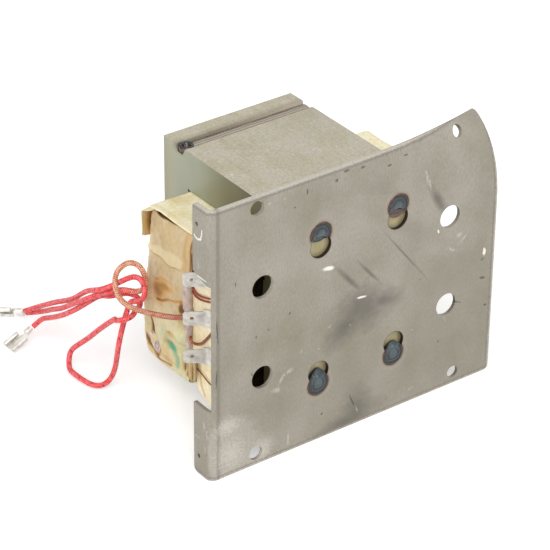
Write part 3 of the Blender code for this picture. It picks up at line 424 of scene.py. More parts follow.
def sleeve():
    """Braided glass-fibre sleeving, lacquered: red yarns crossing in both directions round the wire, their
    crowns lighter and the gaps between them darker as painted light and shade, shown about twice as coarse as
    the real braid, with short dark tracer stitches in a spiral; where the attribute bleached is 1, heat has
    turned it to a mottled salmon, and towards 2 to a dark red-brown."""
    mat, add, shader, _ = finish_of("braided_sleeve", Roughness=0.42)
    along, x, y, warm = (
        add("Attribute", out="Fac", attribute_name=key) for key in ("along", "ring_x", "ring_y", "bleached"))
    turn = add("Math ARCTAN2", (y, x))
    yarns = []
    for way in (1.0, -1.0):
        twist = add("Math MULTIPLY", (along, way * 2 * math.pi / 0.9))
        yarns.append(add("Math SINE", (add("Math MULTIPLY_ADD", (turn, 4.0, twist)),)))
    braid = add("MapRange", (add("Math MAXIMUM", yarns), -0.4, 1.0))
    place = add("VectorMath DIVIDE", (add("CombineXYZ", (along, x, y)), (2.2, 0.8, 0.8)))
    worn = add("TexNoise", {"Vector": place, "Scale": 1.0, "Detail": 4.0})
    # yarn crowns lighter and the gaps between them darker: painted light and shade of the braid, mixed with
    # worn noise
    shade = add("Math MULTIPLY_ADD", (braid, 0.35, worn))
    red = add("ValToRGB", (shade,),
              stops=[(0.35, "B01E26"), (0.55, "E0383F"), (0.75, "F2555A"), (0.95, "F98482")])
    salmon = add("ValToRGB", (shade,),
                 stops=[(0.38, "8E2A1E"), (0.50, "B04834"), (0.63, "D68C6C"), (0.95, "EBC6A4")])
    # tracer stitches: short dashes on a spiral row, faint where the sleeve is bleached
    row = add("Math COSINE", (add("Math MULTIPLY_ADD", (along, 2 * math.pi / 6.4, turn)),))
    row = add("MapRange", (row, 0.88, 0.96))
    stitch = add("Math SINE", (add("Math MULTIPLY", (along, 2 * math.pi / 1.7)),))
    stitch = add("MapRange", (stitch, 0.35, 0.6))
    fresh = add("Math MULTIPLY_ADD", (warm, -0.6, 1.0))
    mark = add("Math MULTIPLY", (add("Math MULTIPLY", (row, stitch)), fresh))
    for share, over in ((warm, salmon), (add("MapRange", (warm, 1.0, 2.0)), colour("8A2E20")),
                        (mark, colour("6B1A20"))):
        red = add("Mix", {0: share, 6: red, 7: over}, 2, data_type="RGBA")
    fill(shader, {"Base Color": red,
                  "Normal": add("Bump", {"Height": braid, "Distance": 0.12 * 0.001, "Strength": 0.6})})
    return mat


# The transformer's sizes, as in part.py
LAM, STACK, CORE_X = 17.5, 64.4, 40.0
PLATE_W, PLATE_H, PLATE_T = 143.3, 123.5, 1.6
PLUG_R, POOL_R, POOL_SHIFT, POOL_DEPTH = 5.0, 5.3, 5.6, 0.8
PLUG_X = (CORE_X + 0.2 * STACK, CORE_X + 0.795 * STACK)
PLUG_Z = (6 * LAM * 0.3095, 6 * LAM * 0.8667)
PLUGS = [(x, z) for x in PLUG_X for z in PLUG_Z]
POOLS = [(x, z + (POOL_SHIFT if z > PLATE_H / 2 else -POOL_SHIFT)) for x, z in PLUGS]
CORE_Y, CORE_H = PLATE_T + GAP, 6 * LAM
BACK = CORE_Y + 5 * LAM
SEAM_Y, SEAM_DEPTH = BACK - 10.8, 3.4
PRIMARY_Y, SECONDARY_Y = (19.7, 39.5), (44.5, 71.4)      # front and back of each coil
PRIMARY_OUT, SECONDARY_OUT = (18.0, 18.6), (23.0, 25.0)  # how far it stands out, left and right
PAPER, SHEET = 0.8, 0.6
COIL_TOP = 5 * LAM - 1.3
COIL_LOW = CORE_H - COIL_TOP
SHEET_Z = COIL_TOP + GAP + SHEET / 2
WIRE = 2.3
START = np.array([CORE_X - 19.31, PRIMARY_Y[1] + 2.57, 3 * LAM - 3.72])  # of the filament lead

STEEL, CORE, SLEEVE = zinc_steel(), varnished_core(), sleeve()

# Arc weld on thin zinc-coated steel: dark blue-grey metal with a lighter crown where the attribute rim is
# low, a painted highlight, with brown oxide where the attribute rim nears 1 and a dull bloom where it is
# about a half
WELD = grained("oxidised_weld", (1.3, 1.3, 1.3), 3.0,
               [(0.06, "4C585C"), (0.26, "343C3F"), (0.50, "222728"), (0.75, "40342E"), (0.92, "6A4E42"),
                (1.0, "4A352C")], 0.08, 0.5, rim=0.3, reach=1.25, Metallic=0.4, Roughness=0.13)
# Bead along the core's joint, brushed with varnish: beige-brown like the laminations, darker where the
# attribute rim nears 1: on lines of slag, and as painted shade in the groove along the I's edge
SEAM = grained("varnished_seam_weld", (3.5, 1.2, 1.2), 4.0,
               [(0.15, "AFA595"), (0.45, "9C9080"), (0.7, "6A5F53"), (0.95, "37302A")], 0.1, 0.5, rim=0.35,
               Metallic=0.35, Roughness=0.4)

# Papers of the coils: cream on the primary, tan on the secondary and greenish low on it, light on the sheet,
# and cotton lead cloth soaked with varnish
CREAM_TONES = [(0.3, "F8E8B8"), (0.45, "FCEFC8"), (0.6, "FFF5D6"), (0.75, "FBECC0")]
TAN_TONES = [(0.28, "BDA678"), (0.42, "C8B48C"), (0.55, "CFBC9A"), (0.68, "C5AC80"), (0.8, "BB9E6E")]
LOW_TONES = [(0.28, "C8C494"), (0.42, "D6D1A0"), (0.55, "DED9B2"), (0.68, "D6CE9E"), (0.8, "C6C294")]
SHEET_TONES = [(0.3, "F0E4B0"), (0.45, "FAF0C8"), (0.6, "FFF8DE"), (0.75, "F6ECBC")]
CREAM = coil_paper("primary_paper", CREAM_TONES, CREAM_TONES)
TAN = coil_paper("secondary_paper", TAN_TONES, LOW_TONES)
TOP_SHEET = coil_paper("top_sheet_paper", SHEET_TONES, SHEET_TONES)
CLOTH = (coil_paper("lead_cloth_light", [(0.3, "C9AE7C"), (0.6, "E0CB9C")], TAN_TONES),
         coil_paper("lead_cloth_dark", [(0.3, "B89A66"), (0.6, "D0B480")], TAN_TONES))

# Copper winding wire under clear enamel: reddish brown with a gloss, its turns as fine parallel lines; the
# primary's front side, seen through the plate's holes, is a near-black brown that is painted shade, and one
# lead has a redder enamel
COPPER, COIL_SHADE, REDDISH = (
    grained(name, (1.1, 0.6, 1.1), 3.0, [(0.3, dark), (0.6, light)], 0.2, 0.6, Metallic=0.6, Roughness=0.3)
    for name, dark, light in (("enamelled_copper", "6B3420", "9C5634"),
                              ("coil_side_painted_shade", "1E1610", "3A2C20"),
                              ("red_enamel_wire", "7A2B20", "B0503A")))
# Grey-pink pressed insulating board: soft, matt and slightly hairy
BOARD = grained("pressed_board", (1.5, 1.5, 3), 4.0,
                [(0.3, "B09A90"), (0.5, "C9B6AC"), (0.7, "DACBC2")], 0.2, 0.6, Roughness=0.85)
# Magnetic shunts, small piles of bare dark laminations: dull grey with the cut edges as fine lines
SHUNT = grained("shunt_laminations", (20, 20, 0.5), 2.0, [(0.35, "4E4C46"), (0.6, "77756C")], 0.2, 0.5,
                Metallic=0.6, Roughness=0.5)
# Stamped terminals of brass under a thin coat of tin: bright, a little cloudy; those on the leads are newer
TIN, CRIMP = (
    grained(name, (2.6, 2.6, 2.0), 4.0, [(0.32, low), (0.6, high)], 0.02, 0.3, Metallic=0.55, Roughness=shine)
    for name, low, high, shine in (("tinned_blade", "BDB9B0", "DAD7D0", 0.42),
                                   ("tinned_terminal", "C4C1B8", "F2EFE8", 0.3)))


# Camera, light and floor
def studio():
    """camera at the photograph's angle, three soft lamps, a white world and a pale floor"""
    cam = bpy.data.objects.new("camera", bpy.data.cameras.new("camera"))
    cam.data.lens, cam.data.sensor_width = 178.9285, 36.0
    cam.location = (-0.57898, -0.76893, 0.63402)
    cam.rotation_euler = Euler([math.radians(a) for a in (58.7263, -0.4951, -36.297)])
    scene.collection.objects.link(cam)
    scene.camera = cam
    aim = Vector((0, 0, 0.06))
    for name, spot, size, power in (("key", (-0.75, -0.95, 1.35), 1.0, 16.0),
                                    ("fill", (0.95, -0.9, 0.9), 1.1, 7.0),
                                    ("left", (-1.3, -0.15, 0.35), 0.9, 4.0)):
        lamp = bpy.data.lights.new(name, "AREA")
        lamp.size, lamp.energy = size, power
        obj = bpy.data.objects.new(name, lamp)
        obj.location = spot
        obj.rotation_euler = (aim - Vector(spot)).to_track_quat("-Z", "Y").to_euler()
        scene.collection.objects.link(obj)
    world = bpy.data.worlds.new("studio")
    world.use_nodes = True
    scene.world = world
    add = functools.partial(add_node, world.node_tree)
    ray = add("LightPath").node.outputs
    seen = add("Math MAXIMUM", (ray["Is Camera Ray"], ray["Is Glossy Ray"]))
    seen = add("Math MAXIMUM", (seen, ray["Is Transmission Ray"]))
    fill(world.node_tree.nodes["Background"], {"Strength": add("MapRange", (seen, 0.0, 1.0, 0.5, 1.0)),
                                               "Color": (1, 1, 1, 1)})
    # the floor glows a little for the camera, so that it turns white away from the shadow
    floor_mat, add, shader, _ = finish_of("pale_floor", Roughness=0.9)
    ray = add("LightPath").node.outputs
    glow = add("Math MULTIPLY", (add("Math MAXIMUM", (ray["Is Camera Ray"], ray["Is Glossy Ray"])), 0.36))
    fill(shader, {"Base Color": (0.9, 0.9, 0.9, 1), "Emission Color": (1, 1, 1, 1),
                  "Emission Strength": glow})
    span = np.array([(-4, -4), (4, -4), (4, 4), (-4, 4)]) * 1000.0 + CORNER[:2]
    floor = mesh_piece("floor", np.c_[span, np.full(4, -0.02)], np.array([[0, 1, 2, 3]]), floor_mat)
    scene.view_settings.view_transform = "Standard"


studio()


# Filament leads
FROM_COIL = [(0, 0, 0), (-5.8, 0, 1.8), (-10.8, 4.9, 1.7), (-20.3, 17.5, 2.9), (-20.6, 24.4, 6.6),
             (-17.8, 29.3, 11.9), (-14.3, 29.1, 14.8), (-10.2, 28.8, 15.7), (-6.9, 26.7, 13.4),
             (-6.5, 24, 10.3), (-6.6, 22.7, 6.4), (-7.7, 24.5, 2.6), (-10.2, 27.9, 1.7), (-13.4, 30.5, 2.9),
             (-18.2, 33.6, 1.3), (-17.6, 37.5, -0.7), (-21.9, 48.1, -8.6), (-20.7, 59.6, -17),
             (-18.6, 70.7, -25.3), (-15.6, 82.9, -32.7), (-12.1, 93.5, -40.5), (-16.2, 102.6, -44.4)]
JUMPER = [(-17.6, 101.4, -42.2), (-15, 88.2, -33.2), (-16.7, 74.7, -24.2), (-17.7, 60.8, -16.1),
          (-18.9, 49.1, -4.7), (-21.8, 35.3, 2.4), (-16.2, 30.2, 6.3), (-10.4, 27, 10.1),
          (-9.3, 21.5, 10.6), (-10.1, 17.6, 5.6), (-11.4, 20.2, 0.7), (-11.5, 26.2, -1.1),
          (-11, 29.5, -4.7), (-16.6, 26.8, -14), (-18.4, 27.5, -24), (-14, 35.9, -39), (-16.8, 37.9, -46.4),
          (-22, 41.2, -47.7), (-23.6, 53.2, -46.7), (-22.4, 59.8, -48.4), (-20.2, 62.2, -42.6),
          (-19.1, 61.1, -39.5), (-17.6, 51.3, -30.7), (-17.5, 38.7, -17.4), (-17.4, 28.6, -8.7),
          (-20.8, 26.3, -7.2), (-21.6, 21.1, -4.8), (-16.6, 18.7, -3.9), (-12.9, 21.6, -3),
          (-10.8, 25.7, -6.8), (-5.1, 27.3, -5), (-5.9, 34.5, -3.5), (-11.6, 35.2, -2.5),
          (-15.1, 39.2, -4.9), (-15.5, 43.5, -5.2), (-18.5, 54.1, -15.9), (-20, 66.8, -26.3),
          (-18.9, 81.2, -35.2), (-18.1, 86.3, -37.9), (-22.6, 87.2, -41.3)]


def filament_leads():
    """the sleeved lead from the coil to the upper terminal, and the one from there to the lower terminal"""
    for name, route in (("filament_lead", FROM_COIL), ("jumper_lead", JUMPER)):
        path = eased_line(START + np.array(route), 0.6)
        far = np.linspace(0, 1, len(path))
        warm = 0 * far
        if name == "filament_lead":
            warm = np.interp(far, [0, 0.12, 0.22, 0.40, 0.47], [1.7, 1.4, 0.95, 0.95, 0])
        lead = tube_piece(name + "_sleeve", path, WIRE / 2, 20, SLEEVE,
                          {"bleached": np.concatenate([np.repeat(warm, 20), [warm[0], warm[-1]]])})
        mount(lead, "red_sleeve", name)


def cad_copy(node, mat, slot, soft=0.15, angle=32.0):
    """a CAD node's own shape with its triangles merged, its edges rounded by soft millimetres"""
    bm = bmesh.new()
    bm.from_mesh(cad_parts[node].data)
    bmesh.ops.remove_doubles(bm, verts=bm.verts[:], dist=2e-6)
    bmesh.ops.dissolve_limit(bm, angle_limit=math.radians(0.5), verts=bm.verts[:], edges=bm.edges[:])
    bmesh.ops.recalc_face_normals(bm, faces=bm.faces[:])
    mesh = bpy.data.meshes.new(node + "_made")
    bm.to_mesh(mesh)
    bm.free()
    mesh.materials.append(mat)
    obj = bpy.data.objects.new(node + "_made", mesh)
    scene.collection.objects.link(obj)
    mesh.shade_smooth()
    mesh.set_sharp_from_angle(angle=math.radians(angle))
    if soft:
        bevel = obj.modifiers.new("Bevel", "BEVEL")
        bevel.width, bevel.segments, bevel.limit_method = soft * 0.001, 2, "ANGLE"
        bevel.angle_limit, bevel.harden_normals = math.radians(40), True
    return mount(obj, slot, node)


cad_copy("base_plate", STEEL, "zinc_steel", 0.2)
cad_copy("core_e_stack", CORE, "varnished_core", 0.2)
cad_copy("core_i_stack", CORE, "varnished_core", 0.2)
for tab in ("primary_tab_upper", "primary_tab_middle", "secondary_tab"):
    cad_copy(tab, TIN, "tinned_steel", 0.1)
for terminal in ("filament_terminal", "receptacle_terminal"):
    cad_copy(terminal, CRIMP, "tinned_steel", 0.08)
for wire in ("primary_lead_upper", "primary_lead_middle", "secondary_lead"):
    cad_copy(wire, REDDISH if wire == "primary_lead_upper" else COPPER, "enamelled_wire", 0, 70.0)
# the primary winding takes the near-black brown: painted shade where the plate's holes show it
for node, mat in (("shunt_upper", SHUNT), ("shunt_lower", SHUNT), ("separator_left", BOARD),
                  ("separator_right", BOARD), ("primary_winding", COIL_SHADE)):
    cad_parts[node].data.materials.clear()
    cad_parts[node].data.materials.append(mat)
filament_leads()

# Coils
ROUND = [(0.806, 0.997), (0.939, 0.979), (0.994, 0.938), (1, 0.611), (1, 0.315), (0.994, 0.033),
         (0.917, -0.033), (0.667, -0.056), (0.222, -0.033)]
BAGGY = [(0.806, 0.997), (0.939, 0.979), (0.994, 0.938), (1, 0.611), (1, 0.315), (1, -0.03), (0.985, -0.10),
         (0.930, -0.135), (0.667, -0.135), (0.222, -0.040)]
SAG_LEFT = [(0.630, 1), (0.757, 0.988), (0.809, 0.945), (0.887, 0.685), (0.983, 0.418), (1, 0.196),
            (0.965, 0.047), (0.887, -0.030), (0.717, -0.062), (0.435, -0.059), (0.174, -0.030)]
SAG_RIGHT = [(0.760, 1), (0.872, 0.985), (0.920, 0.938), (0.968, 0.685), (1, 0.418), (1, 0.196),
             (0.960, 0.047), (0.880, -0.030), (0.720, -0.062), (0.400, -0.059), (0.160, -0.030)]


def coil_loop(left, right, out, fine):
    """closed outline in x, z: a smooth overhang on each side, given as shares of how far it stands out and of
    the window's height, and straight lines through the windows; it runs down the left side first, with
    points a fine step apart, and four steps apart elsewhere"""
    sides = []
    for shares, far, start, sign, step in ((left, out[0], CORE_X, -1, fine),
                                           (right, out[1], CORE_X + STACK, 1, fine * 3)):
        s = np.array(shares)
        spots = np.c_[start + sign * s[:, 0] * far, COIL_LOW + s[:, 1] * (COIL_TOP - COIL_LOW)]
        sides.append(smooth_line(spots, step))
    x0, x1 = CORE_X - 0.8, CORE_X + STACK + 0.8
    low = evenly(np.array([sides[0][-1], (x0, COIL_LOW), (x1, COIL_LOW), sides[1][-1]]), fine * 3)
    high = evenly(np.array([sides[1][0], (x1, COIL_TOP), (x0, COIL_TOP), sides[0][0]]), fine * 3)
    return np.vstack([sides[0], low[1:-1], sides[1][::-1], high[1:-1]])


def ring_band(name, loop, edges, thick, fine, mat, push, marks):
    """ring round the core: the outline carried from one edge to the other, which edges(x, z) gives, its
    outside pushed out by push(x, y, z), back along the inside, closed both ways; marks(x, y, z) gives its
    attributes"""
    t = np.roll(loop, -1, axis=0) - np.roll(loop, 1, axis=0)
    t /= np.linalg.norm(t, axis=1)[:, None]
    out = np.c_[t[:, 1], -t[:, 0]]
    y0, y1 = (e[:, None] for e in edges(loop[:, 0], loop[:, 1]))
    m = int(round(float(np.max(y1 - y0)) / fine))
    k = np.concatenate([[0, 0.004], np.linspace(0.014, 0.986, m), [0.996, 1], [1, 0]])[None]
    depth = np.concatenate([[-0.35, -0.08], np.zeros(m), [-0.08, -0.35], [-thick, -thick]])[None]
    outer = np.concatenate([np.ones(m + 4), np.zeros(2)])[None]
    x, z = np.repeat(loop[:, :1], k.size, axis=1), np.repeat(loop[:, 1:], k.size, axis=1)
    y = y0 + (y1 - y0) * k
    ragged = 0.2 * np.sin(x * 0.9 + z * 0.55) * np.sin(z * 0.31 + 1.0) + 0.08 * np.sin(z * 2.1 + x)
    y = y + outer * ragged * unit(np.abs(k - 0.5) * 6 - 2)
    move = depth + push(x, y, z) * np.where(outer > 0, 1.0, 0.9)
    pts = np.stack([x + out[:, :1] * move, y, z + out[:, 1:] * move], axis=-1).reshape(-1, 3)
    vals = {key: unit(v) for key, v in marks(x, y, z).items()}
    quads = grid_faces(len(loop), k.size, wrap_rows=True, wrap_cols=True)
    obj = outward(mesh_piece(name, pts, quads, mat, values=vals))
    obj.data.set_sharp_from_angle(angle=math.radians(60))
    return obj


def blob(y, z, at, size, soft):
    """1 inside an ellipse on the left faces, 0 outside, with a soft edge"""
    d = np.hypot((y - at[0]) / size[0], (z - at[1]) / size[1])
    return unit((1 + soft - d) / (2 * soft))


def stroke(y, z, points, wide):
    """1 along a line of points on the left faces, falling to 0 at so many millimetres from it"""
    best = np.full(np.shape(y), 1e9)
    for a, b in zip(points, points[1:]):
        dy, dz = b[0] - a[0], b[1] - a[1]
        s = unit(((y - a[0]) * dy + (z - a[1]) * dz) / (dy * dy + dz * dz))
        best = np.minimum(best, np.hypot(y - a[0] - s * dy, z - a[1] - s * dz))
    return unit(1.4 * (1 - best / wide))


def overhang(x):
    """1 on the parts of a coil that stand out of the core, 0 inside it"""
    return unit(np.maximum(CORE_X - 6 - x, x - CORE_X - STACK - 6) / 5)


def left_face(x):
    """1 on the left overhang's outer face"""
    return unit((CORE_X - 13 - x) / 3)


def primary_edges(x, z):
    """front and back edge; on the left the paper is wider than the winding, ragged at its lower end, and
    notched where the filament lead comes out"""
    wide = np.interp(z, [8.5, 11, 14, 18, 26.7, 29.5, 33, 66, 69, 87],
                     [30, 34.8, 39.8, 41.4, 42.3, 42.9, 43.2, 43.1, 41.6, 41.4])
    wide = wide - 3.2 * np.exp(-((z - START[2]) / 2.2) ** 2)
    return np.full(x.shape, PRIMARY_Y[0]), PRIMARY_Y[1] + left_face(x) * (wide - PRIMARY_Y[1])


def primary_push(x, y, z):
    """slack paper: two long shallow waves and a seam where the paper's end laps over"""
    wave = 0.14 * np.sin(z / 9 + y / 4) + 0.08 * np.sin(z / 4.3 - y / 3.1 + 1)
    lap = 0.22 / (1 + np.exp(-(z - 26 - 0.1 * y) / 0.35))
    return overhang(x) * (wave + lap * left_face(x))


def drawn(y, z, *rows):
    """sum of marks on the left faces: each a gain, then a line and its half width, or an ellipse's centre,
    half axes and softness"""
    return sum(gain * (stroke(y, z, *how) if len(how) == 2 else blob(y, z, *how)) for gain, *how in rows)


def primary_marks(x, y, z):
    """a little varnish has run along the edge and browned the lower corner"""
    stain = drawn(y, z, (0.3, [(38.5, 27), (38.0, 18), (35.5, 13.5)], 1.2),
                  (0.16, [(42.4, 84), (42.0, 50), (42.2, 34)], 0.9))
    return {"stain": stain * left_face(x), "low": np.zeros_like(x)}


LOBE_LOW = [(46.9, 70.4), (48.0, 68.4), (49.7, 67.5), (54.4, 66.5), (63.9, 67.0), (72, 66.8)]
LOBE_HIGH = [(46.4, 72.9), (51.2, 73.4), (57.5, 72.9), (64.6, 71.5), (72, 70.2)]


def lobe(y, z):
    """1 on the tongue of paper glued across the left face, 0 off it"""
    low = np.interp(y, [p[0] for p in LOBE_LOW], [p[1] for p in LOBE_LOW])
    high = np.interp(y, [p[0] for p in LOBE_HIGH], [p[1] for p in LOBE_HIGH])
    return unit((z - low) / 0.35) * unit((high - z) / 1.6) * unit((y - 46.4) / 0.6)


def secondary_edges(x, z):
    """front and back edge; high on the left the paper reaches over the slot"""
    front = np.interp(z, [66.5, 68, 86, 90], [SECONDARY_Y[0], 42.2, 42.0, 42.0])
    return SECONDARY_Y[0] + left_face(x) * (front - SECONDARY_Y[0]), np.full(x.shape, SECONDARY_Y[1])


def wrinkled(y, z):
    """the place on a left face, shaken by slow sines so that no drawn line runs straight"""
    return y + 0.25 * np.sin(z * 0.55 + 0.4 * y), z + 0.28 * np.sin(y * 0.60 - 0.3 * z)


# lines of the creases, with their depth and the darkness of the painted shade along them
CREASES = [([(62.4, 48.3), (55.0, 51.2), (47.1, 54.2)], 0.35, 0.42),
           ([(64.5, 57.0), (60.0, 58.8), (54.0, 59.0)], 0.3, 0.2),
           ([(66.5, 38), (65.4, 32), (63.4, 28.6), (61.0, 24.5), (62.4, 21.0)], 0.5, 0.6),
           ([(57.4, 32.6), (53.4, 37.6), (50.5, 36.8), (43.5, 31.8)], 0.4, 0.16),
           ([(69.8, 28), (69.2, 22.8), (66.4, 20.0), (61.0, 18.6), (54, 20.5)], 0.3, 0.55),
           ([(66.0, 46.0), (58.0, 44.0), (50.0, 46.5)], 0.25, 0.08)]
# the one at (62.4, 86.0), darkest of all, is painted shade in the slit, and the one at (53.2, 36.0) painted
# shade under the tip of the lap's peak
STAINS = [(0.28, [(46.2, 86), (46.4, 68)], 2.2), (0.22, [(43.2, 86), (43.2, 69)], 1.6),
          (0.42, (60, 54.3), (4.6, 3.8), 0.6), (0.3, (63, 51.5), (2.8, 4.2), 0.6),
          (0.3, (55.0, 56.6), (4.5, 1.5), 0.7), (0.75, (46.4, 51.4), (1.5, 2.2), 0.4),
          (0.25, (46.8, 47), (1.6, 4), 0.5), (0.36, LOBE_LOW[2:], 0.7), (1.4, (62.4, 86.0), (6.6, 1.7), 0.25),
          (0.55, [(42.3, 85), (42.4, 69)], 0.9), (0.12, (55, 78), (9, 5), 0.7),
          (0.25, (45.5, 26), (1.8, 5), 0.4), (0.22, (55, 22.3), (5.5, 1.6), 0.5),
          (0.5, (53.6, 31.2), (3.8, 1.3), 0.6), (0.3, (53.2, 36.0), (2.2, 1.4), 0.6),
          (0.22, (56.5, 25.5), (4.5, 3.6), 0.6), (0.5, (66.2, 32.4), (1.2, 4.4), 0.6),
          (0.25, (65.4, 24.2), (5.0, 6.2), 0.25)]
GREENS = [(0.62, [(52.6, 31.2), (50.6, 29.6), (49.3, 26.4), (49.2, 22.4)], 2.1),
          (0.55, (53.2, 30.6), (4.0, 1.8), 0.6), (0.18, (57, 35), (2.6, 3.4), 0.5),
          (0.12, (47.6, 34), (2.6, 3), 0.5)]


def secondary_push(x, y, z):
    """slack outer paper: waves, the glued tongue, creases, a lap that ends in a peak, a torn hollow low at
    the back and a slit at the top; towards the slot the paper is drawn in"""
    wave = 0.16 * np.sin(z / 7 + y / 5) + 0.10 * np.sin(z / 3.4 - y / 2.6 + 2)
    y, z = wrinkled(y, z)
    shape = 0.55 * lobe(y, z) + drawn(
        y, z, (0.5, (57, 55), (9, 7), 0.8), *((-deep, line, 0.9) for line, deep, _ in CREASES),
        (-0.5, [(56.3, 30.5), (53, 32.2), (50.4, 31.0), (49.2, 27), (49.6, 22.8)], 2.4),
        (-1.3, (65.6, 24.2), (3.7, 4.9), 0.22), (-0.5, (66.3, 32), (2.2, 5), 0.4),
        (-2.2, (60.5, 86.8), (8.0, 1.5), 0.3))
    peak = np.interp(y, [43, 53.4, 57.4], [31.8, 37.6, 32.6])
    lap = unit((peak - z) / 0.6) * unit((57.4 - y) / 0.8) * unit((z - 20) / 5)
    drawn_in = np.clip(20.4 - x, 0, 4) * np.exp(-((y - SECONDARY_Y[0] + 0.3) / 2.4) ** 2)
    return overhang(x) * wave + left_face(x) * (shape - 0.55 * lap - drawn_in)


def secondary_marks(x, y, z):
    """varnish: ochre beside the slot, a scorched blotch, pale dry paper on the tongue and along the back
    edge, a green cast on the lower paper, wrinkled foil in the hollow; and painted shade along the creases,
    as a dark wedge in the slit and under the tip of the lap's peak"""
    on = left_face(x)
    y, z = wrinkled(y, z)
    stain = drawn(y, z, *STAINS, *((dark, line, 1.1) for line, _, dark in CREASES))
    pale = 0.5 * lobe(y, z) + 0.55 * unit((y - 69) / 1.5) + 0.35 * blob(y, z, (55, 42), (6, 4), 0.6)
    pale += 0.4 * unit((z - 84.6) / 1.0)
    return {"stain": stain * on, "cool": drawn(y, z, *GREENS) * on, "pale": pale * on,
            "low": unit((52 - z) / 12), "foil": 0.95 * blob(y, z, (65.9, 25.0), (2.9, 4.9), 0.2) * on}


def winding_edges(x, z):
    """front and back edge of the secondary winding, set in behind its paper's"""
    front, back = secondary_edges(x, z)
    return front + 1.6, back - 0.6


def coil_papers():
    """the paper rings of the two coils, and the secondary winding set in under its paper, so that the hollow
    and the slit have room"""
    loop = coil_loop(BAGGY, ROUND, PRIMARY_OUT, 0.5)
    mount(ring_band("primary_wrap_made", loop, primary_edges, PAPER, 0.5, CREAM, primary_push, primary_marks),
          "cream_paper", "primary_wrap")
    loop = coil_loop(SAG_LEFT, SAG_RIGHT, SECONDARY_OUT, 0.35)
    mount(ring_band("secondary_wrap_made", loop, secondary_edges, PAPER, 0.38, TAN, secondary_push,
                    secondary_marks), "varnished_paper", "secondary_wrap")
    inside = PAPER + GAP + 0.1
    mount(ring_band("secondary_winding_made", loop, winding_edges, 15.0, 1.5, COPPER,
                    lambda x, y, z: secondary_push(x, y, z) * (x < 60) - inside, lambda x, y, z: {}),
          "enamelled_wire", "secondary_winding")


def thin_sheet(name, points, thick, mat, values=None):
    """paper or board: a grid of points, as rows by columns, given a thickness by Solidify"""
    rows, cols = points.shape[:2]
    obj = mesh_piece(name, points.reshape(-1, 3), grid_faces(rows, cols), mat, values=values)
    skin = obj.modifiers.new("Solidify", "SOLIDIFY")
    skin.thickness, skin.offset = thick * 0.001, 0.0
    return obj


def top_sheet():
    """insulating sheet through the upper window: flat over the secondary, cut straight at its left end, where
    it lifts over the slit, drooping a little on the right; s runs along it and t from the slot to the back"""
    s, t = np.meshgrid(np.linspace(0, 1, 150), np.linspace(0, 1, 50))
    y = 43.6 + t * (SECONDARY_Y[1] - 44.2)
    left = 21.7 - 0.056 * (y - 43.5)
    right = CORE_X + STACK + 27
    x = left + s ** 1.15 * (right - left)
    droop = 0.35 * np.exp(-(x - left) / 1.3) + 0.5 * unit((x - right + 5) / 5) ** 2
    out = unit((CORE_X - 1 - x) / 5) + unit((x - CORE_X - STACK - 1) / 5)
    lift = 1.35 * np.exp(-((y - 63) / 6.0) ** 2 - (x - left) / 4)
    z = SHEET_Z - droop + lift + out * (0.14 * np.sin(y / 3.1 + x / 6) + 0.08 * np.sin(x / 2.3 - y / 4))
    stain = drawn(y, x, (0.30, (45.5, 38.5), (2.0, 1.8), 0.5), (0.14, (67, 33), (4, 4), 0.8),
                  (0.10, [(44, 23), (70, 22)], 2))
    vals = {"stain": stain, "pale": 0.25 * blob(y, x, (55, 28), (7, 4), 0.6)}
    points = np.stack([x, y, z], axis=-1)
    mount(thin_sheet("secondary_paper_made", points, SHEET, TOP_SHEET, vals), "cream_paper",
          "secondary_paper_upper")


def paper_flap():
    """the sheet's back margin runs on to the left of its end and rolls down behind the coil's corner: t runs
    along that path, s across it; brown on the inner side of the curl, a painted shade, pale along its free
    edge"""
    s, t = np.meshgrid(np.linspace(0, 1, 26), np.linspace(0, 1, 60))
    spots = [(68.0, 86.9), (69.4, 86.9), (70.9, 86.5), (71.7, 85.4), (71.9, 79), (71.8, 73.0)]
    path = smooth_line(spots, 0.25)
    k = np.linspace(0, 1, len(path))
    y = np.interp(t, k, path[:, 0])
    z = np.interp(t, k, path[:, 1])
    wide = 2.6 + 4.2 * np.sqrt(1 - (1 - unit(t / 0.42)) ** 2)
    x = 22.6 - wide * s
    down = unit((86.6 - z) / 3)
    y = y - down * (0.8 * s ** 2 + 1.2 * s ** 6) + 0.12 * np.sin(z / 2 + x)
    z = z - 0.4 * s * (1 - down) + 2.2 * s ** 2 * t ** 2 + 0.12 * np.sin(x * 2) * (t > 0.9)
    # brown on the inner side of the hanging part: painted shade of the curl
    stain = 0.72 * down * unit(1.7 - 2.1 * s) * (0.7 + 0.3 * np.sin(z / 3))
    pale = unit(4 * s - 2.6) * 0.8 + 0.6 * (1 - down)
    flap = thin_sheet("secondary_paper_flap", np.stack([x, y, z], axis=-1), 0.4, TAN,
                      {"stain": stain, "pale": pale})
    mount(flap, "varnished_paper")


def board_strip():
    """left board between the coils: flat in the slot, its outer edge folded back over the secondary's front
    corner below the wide paper; each row runs up it"""
    z = np.linspace(COIL_LOW + 0.6, COIL_TOP - 2.4, 70)
    end = np.where(z > 67.3, 23.5, 20.15) + 0.12 * np.sin(z / 6)
    back = np.interp(z, [33, 37, 64, 67.2], [0.05, 2.5, 2.7, 0.05])
    rows = []
    for a, (dx, dy) in enumerate(((19.2, 0), (10, 0), (4, 0), (1.0, 0), (0.3, 0.06), (0.05, 0.3), (0, 0.5))):
        rows.append(np.stack([np.minimum(end + dx, CORE_X - 0.7), np.full(z.shape, 43.75 + dy), z], axis=-1))
    for f in (0.4, 0.7, 1.0):
        rows.append(np.stack([end - 0.36 * f * back, 44.25 + f * back * 0.8, z], axis=-1))
    mount(thin_sheet("separator_left_made", np.array(rows), 0.5, BOARD), "pressed_board", "separator_left")


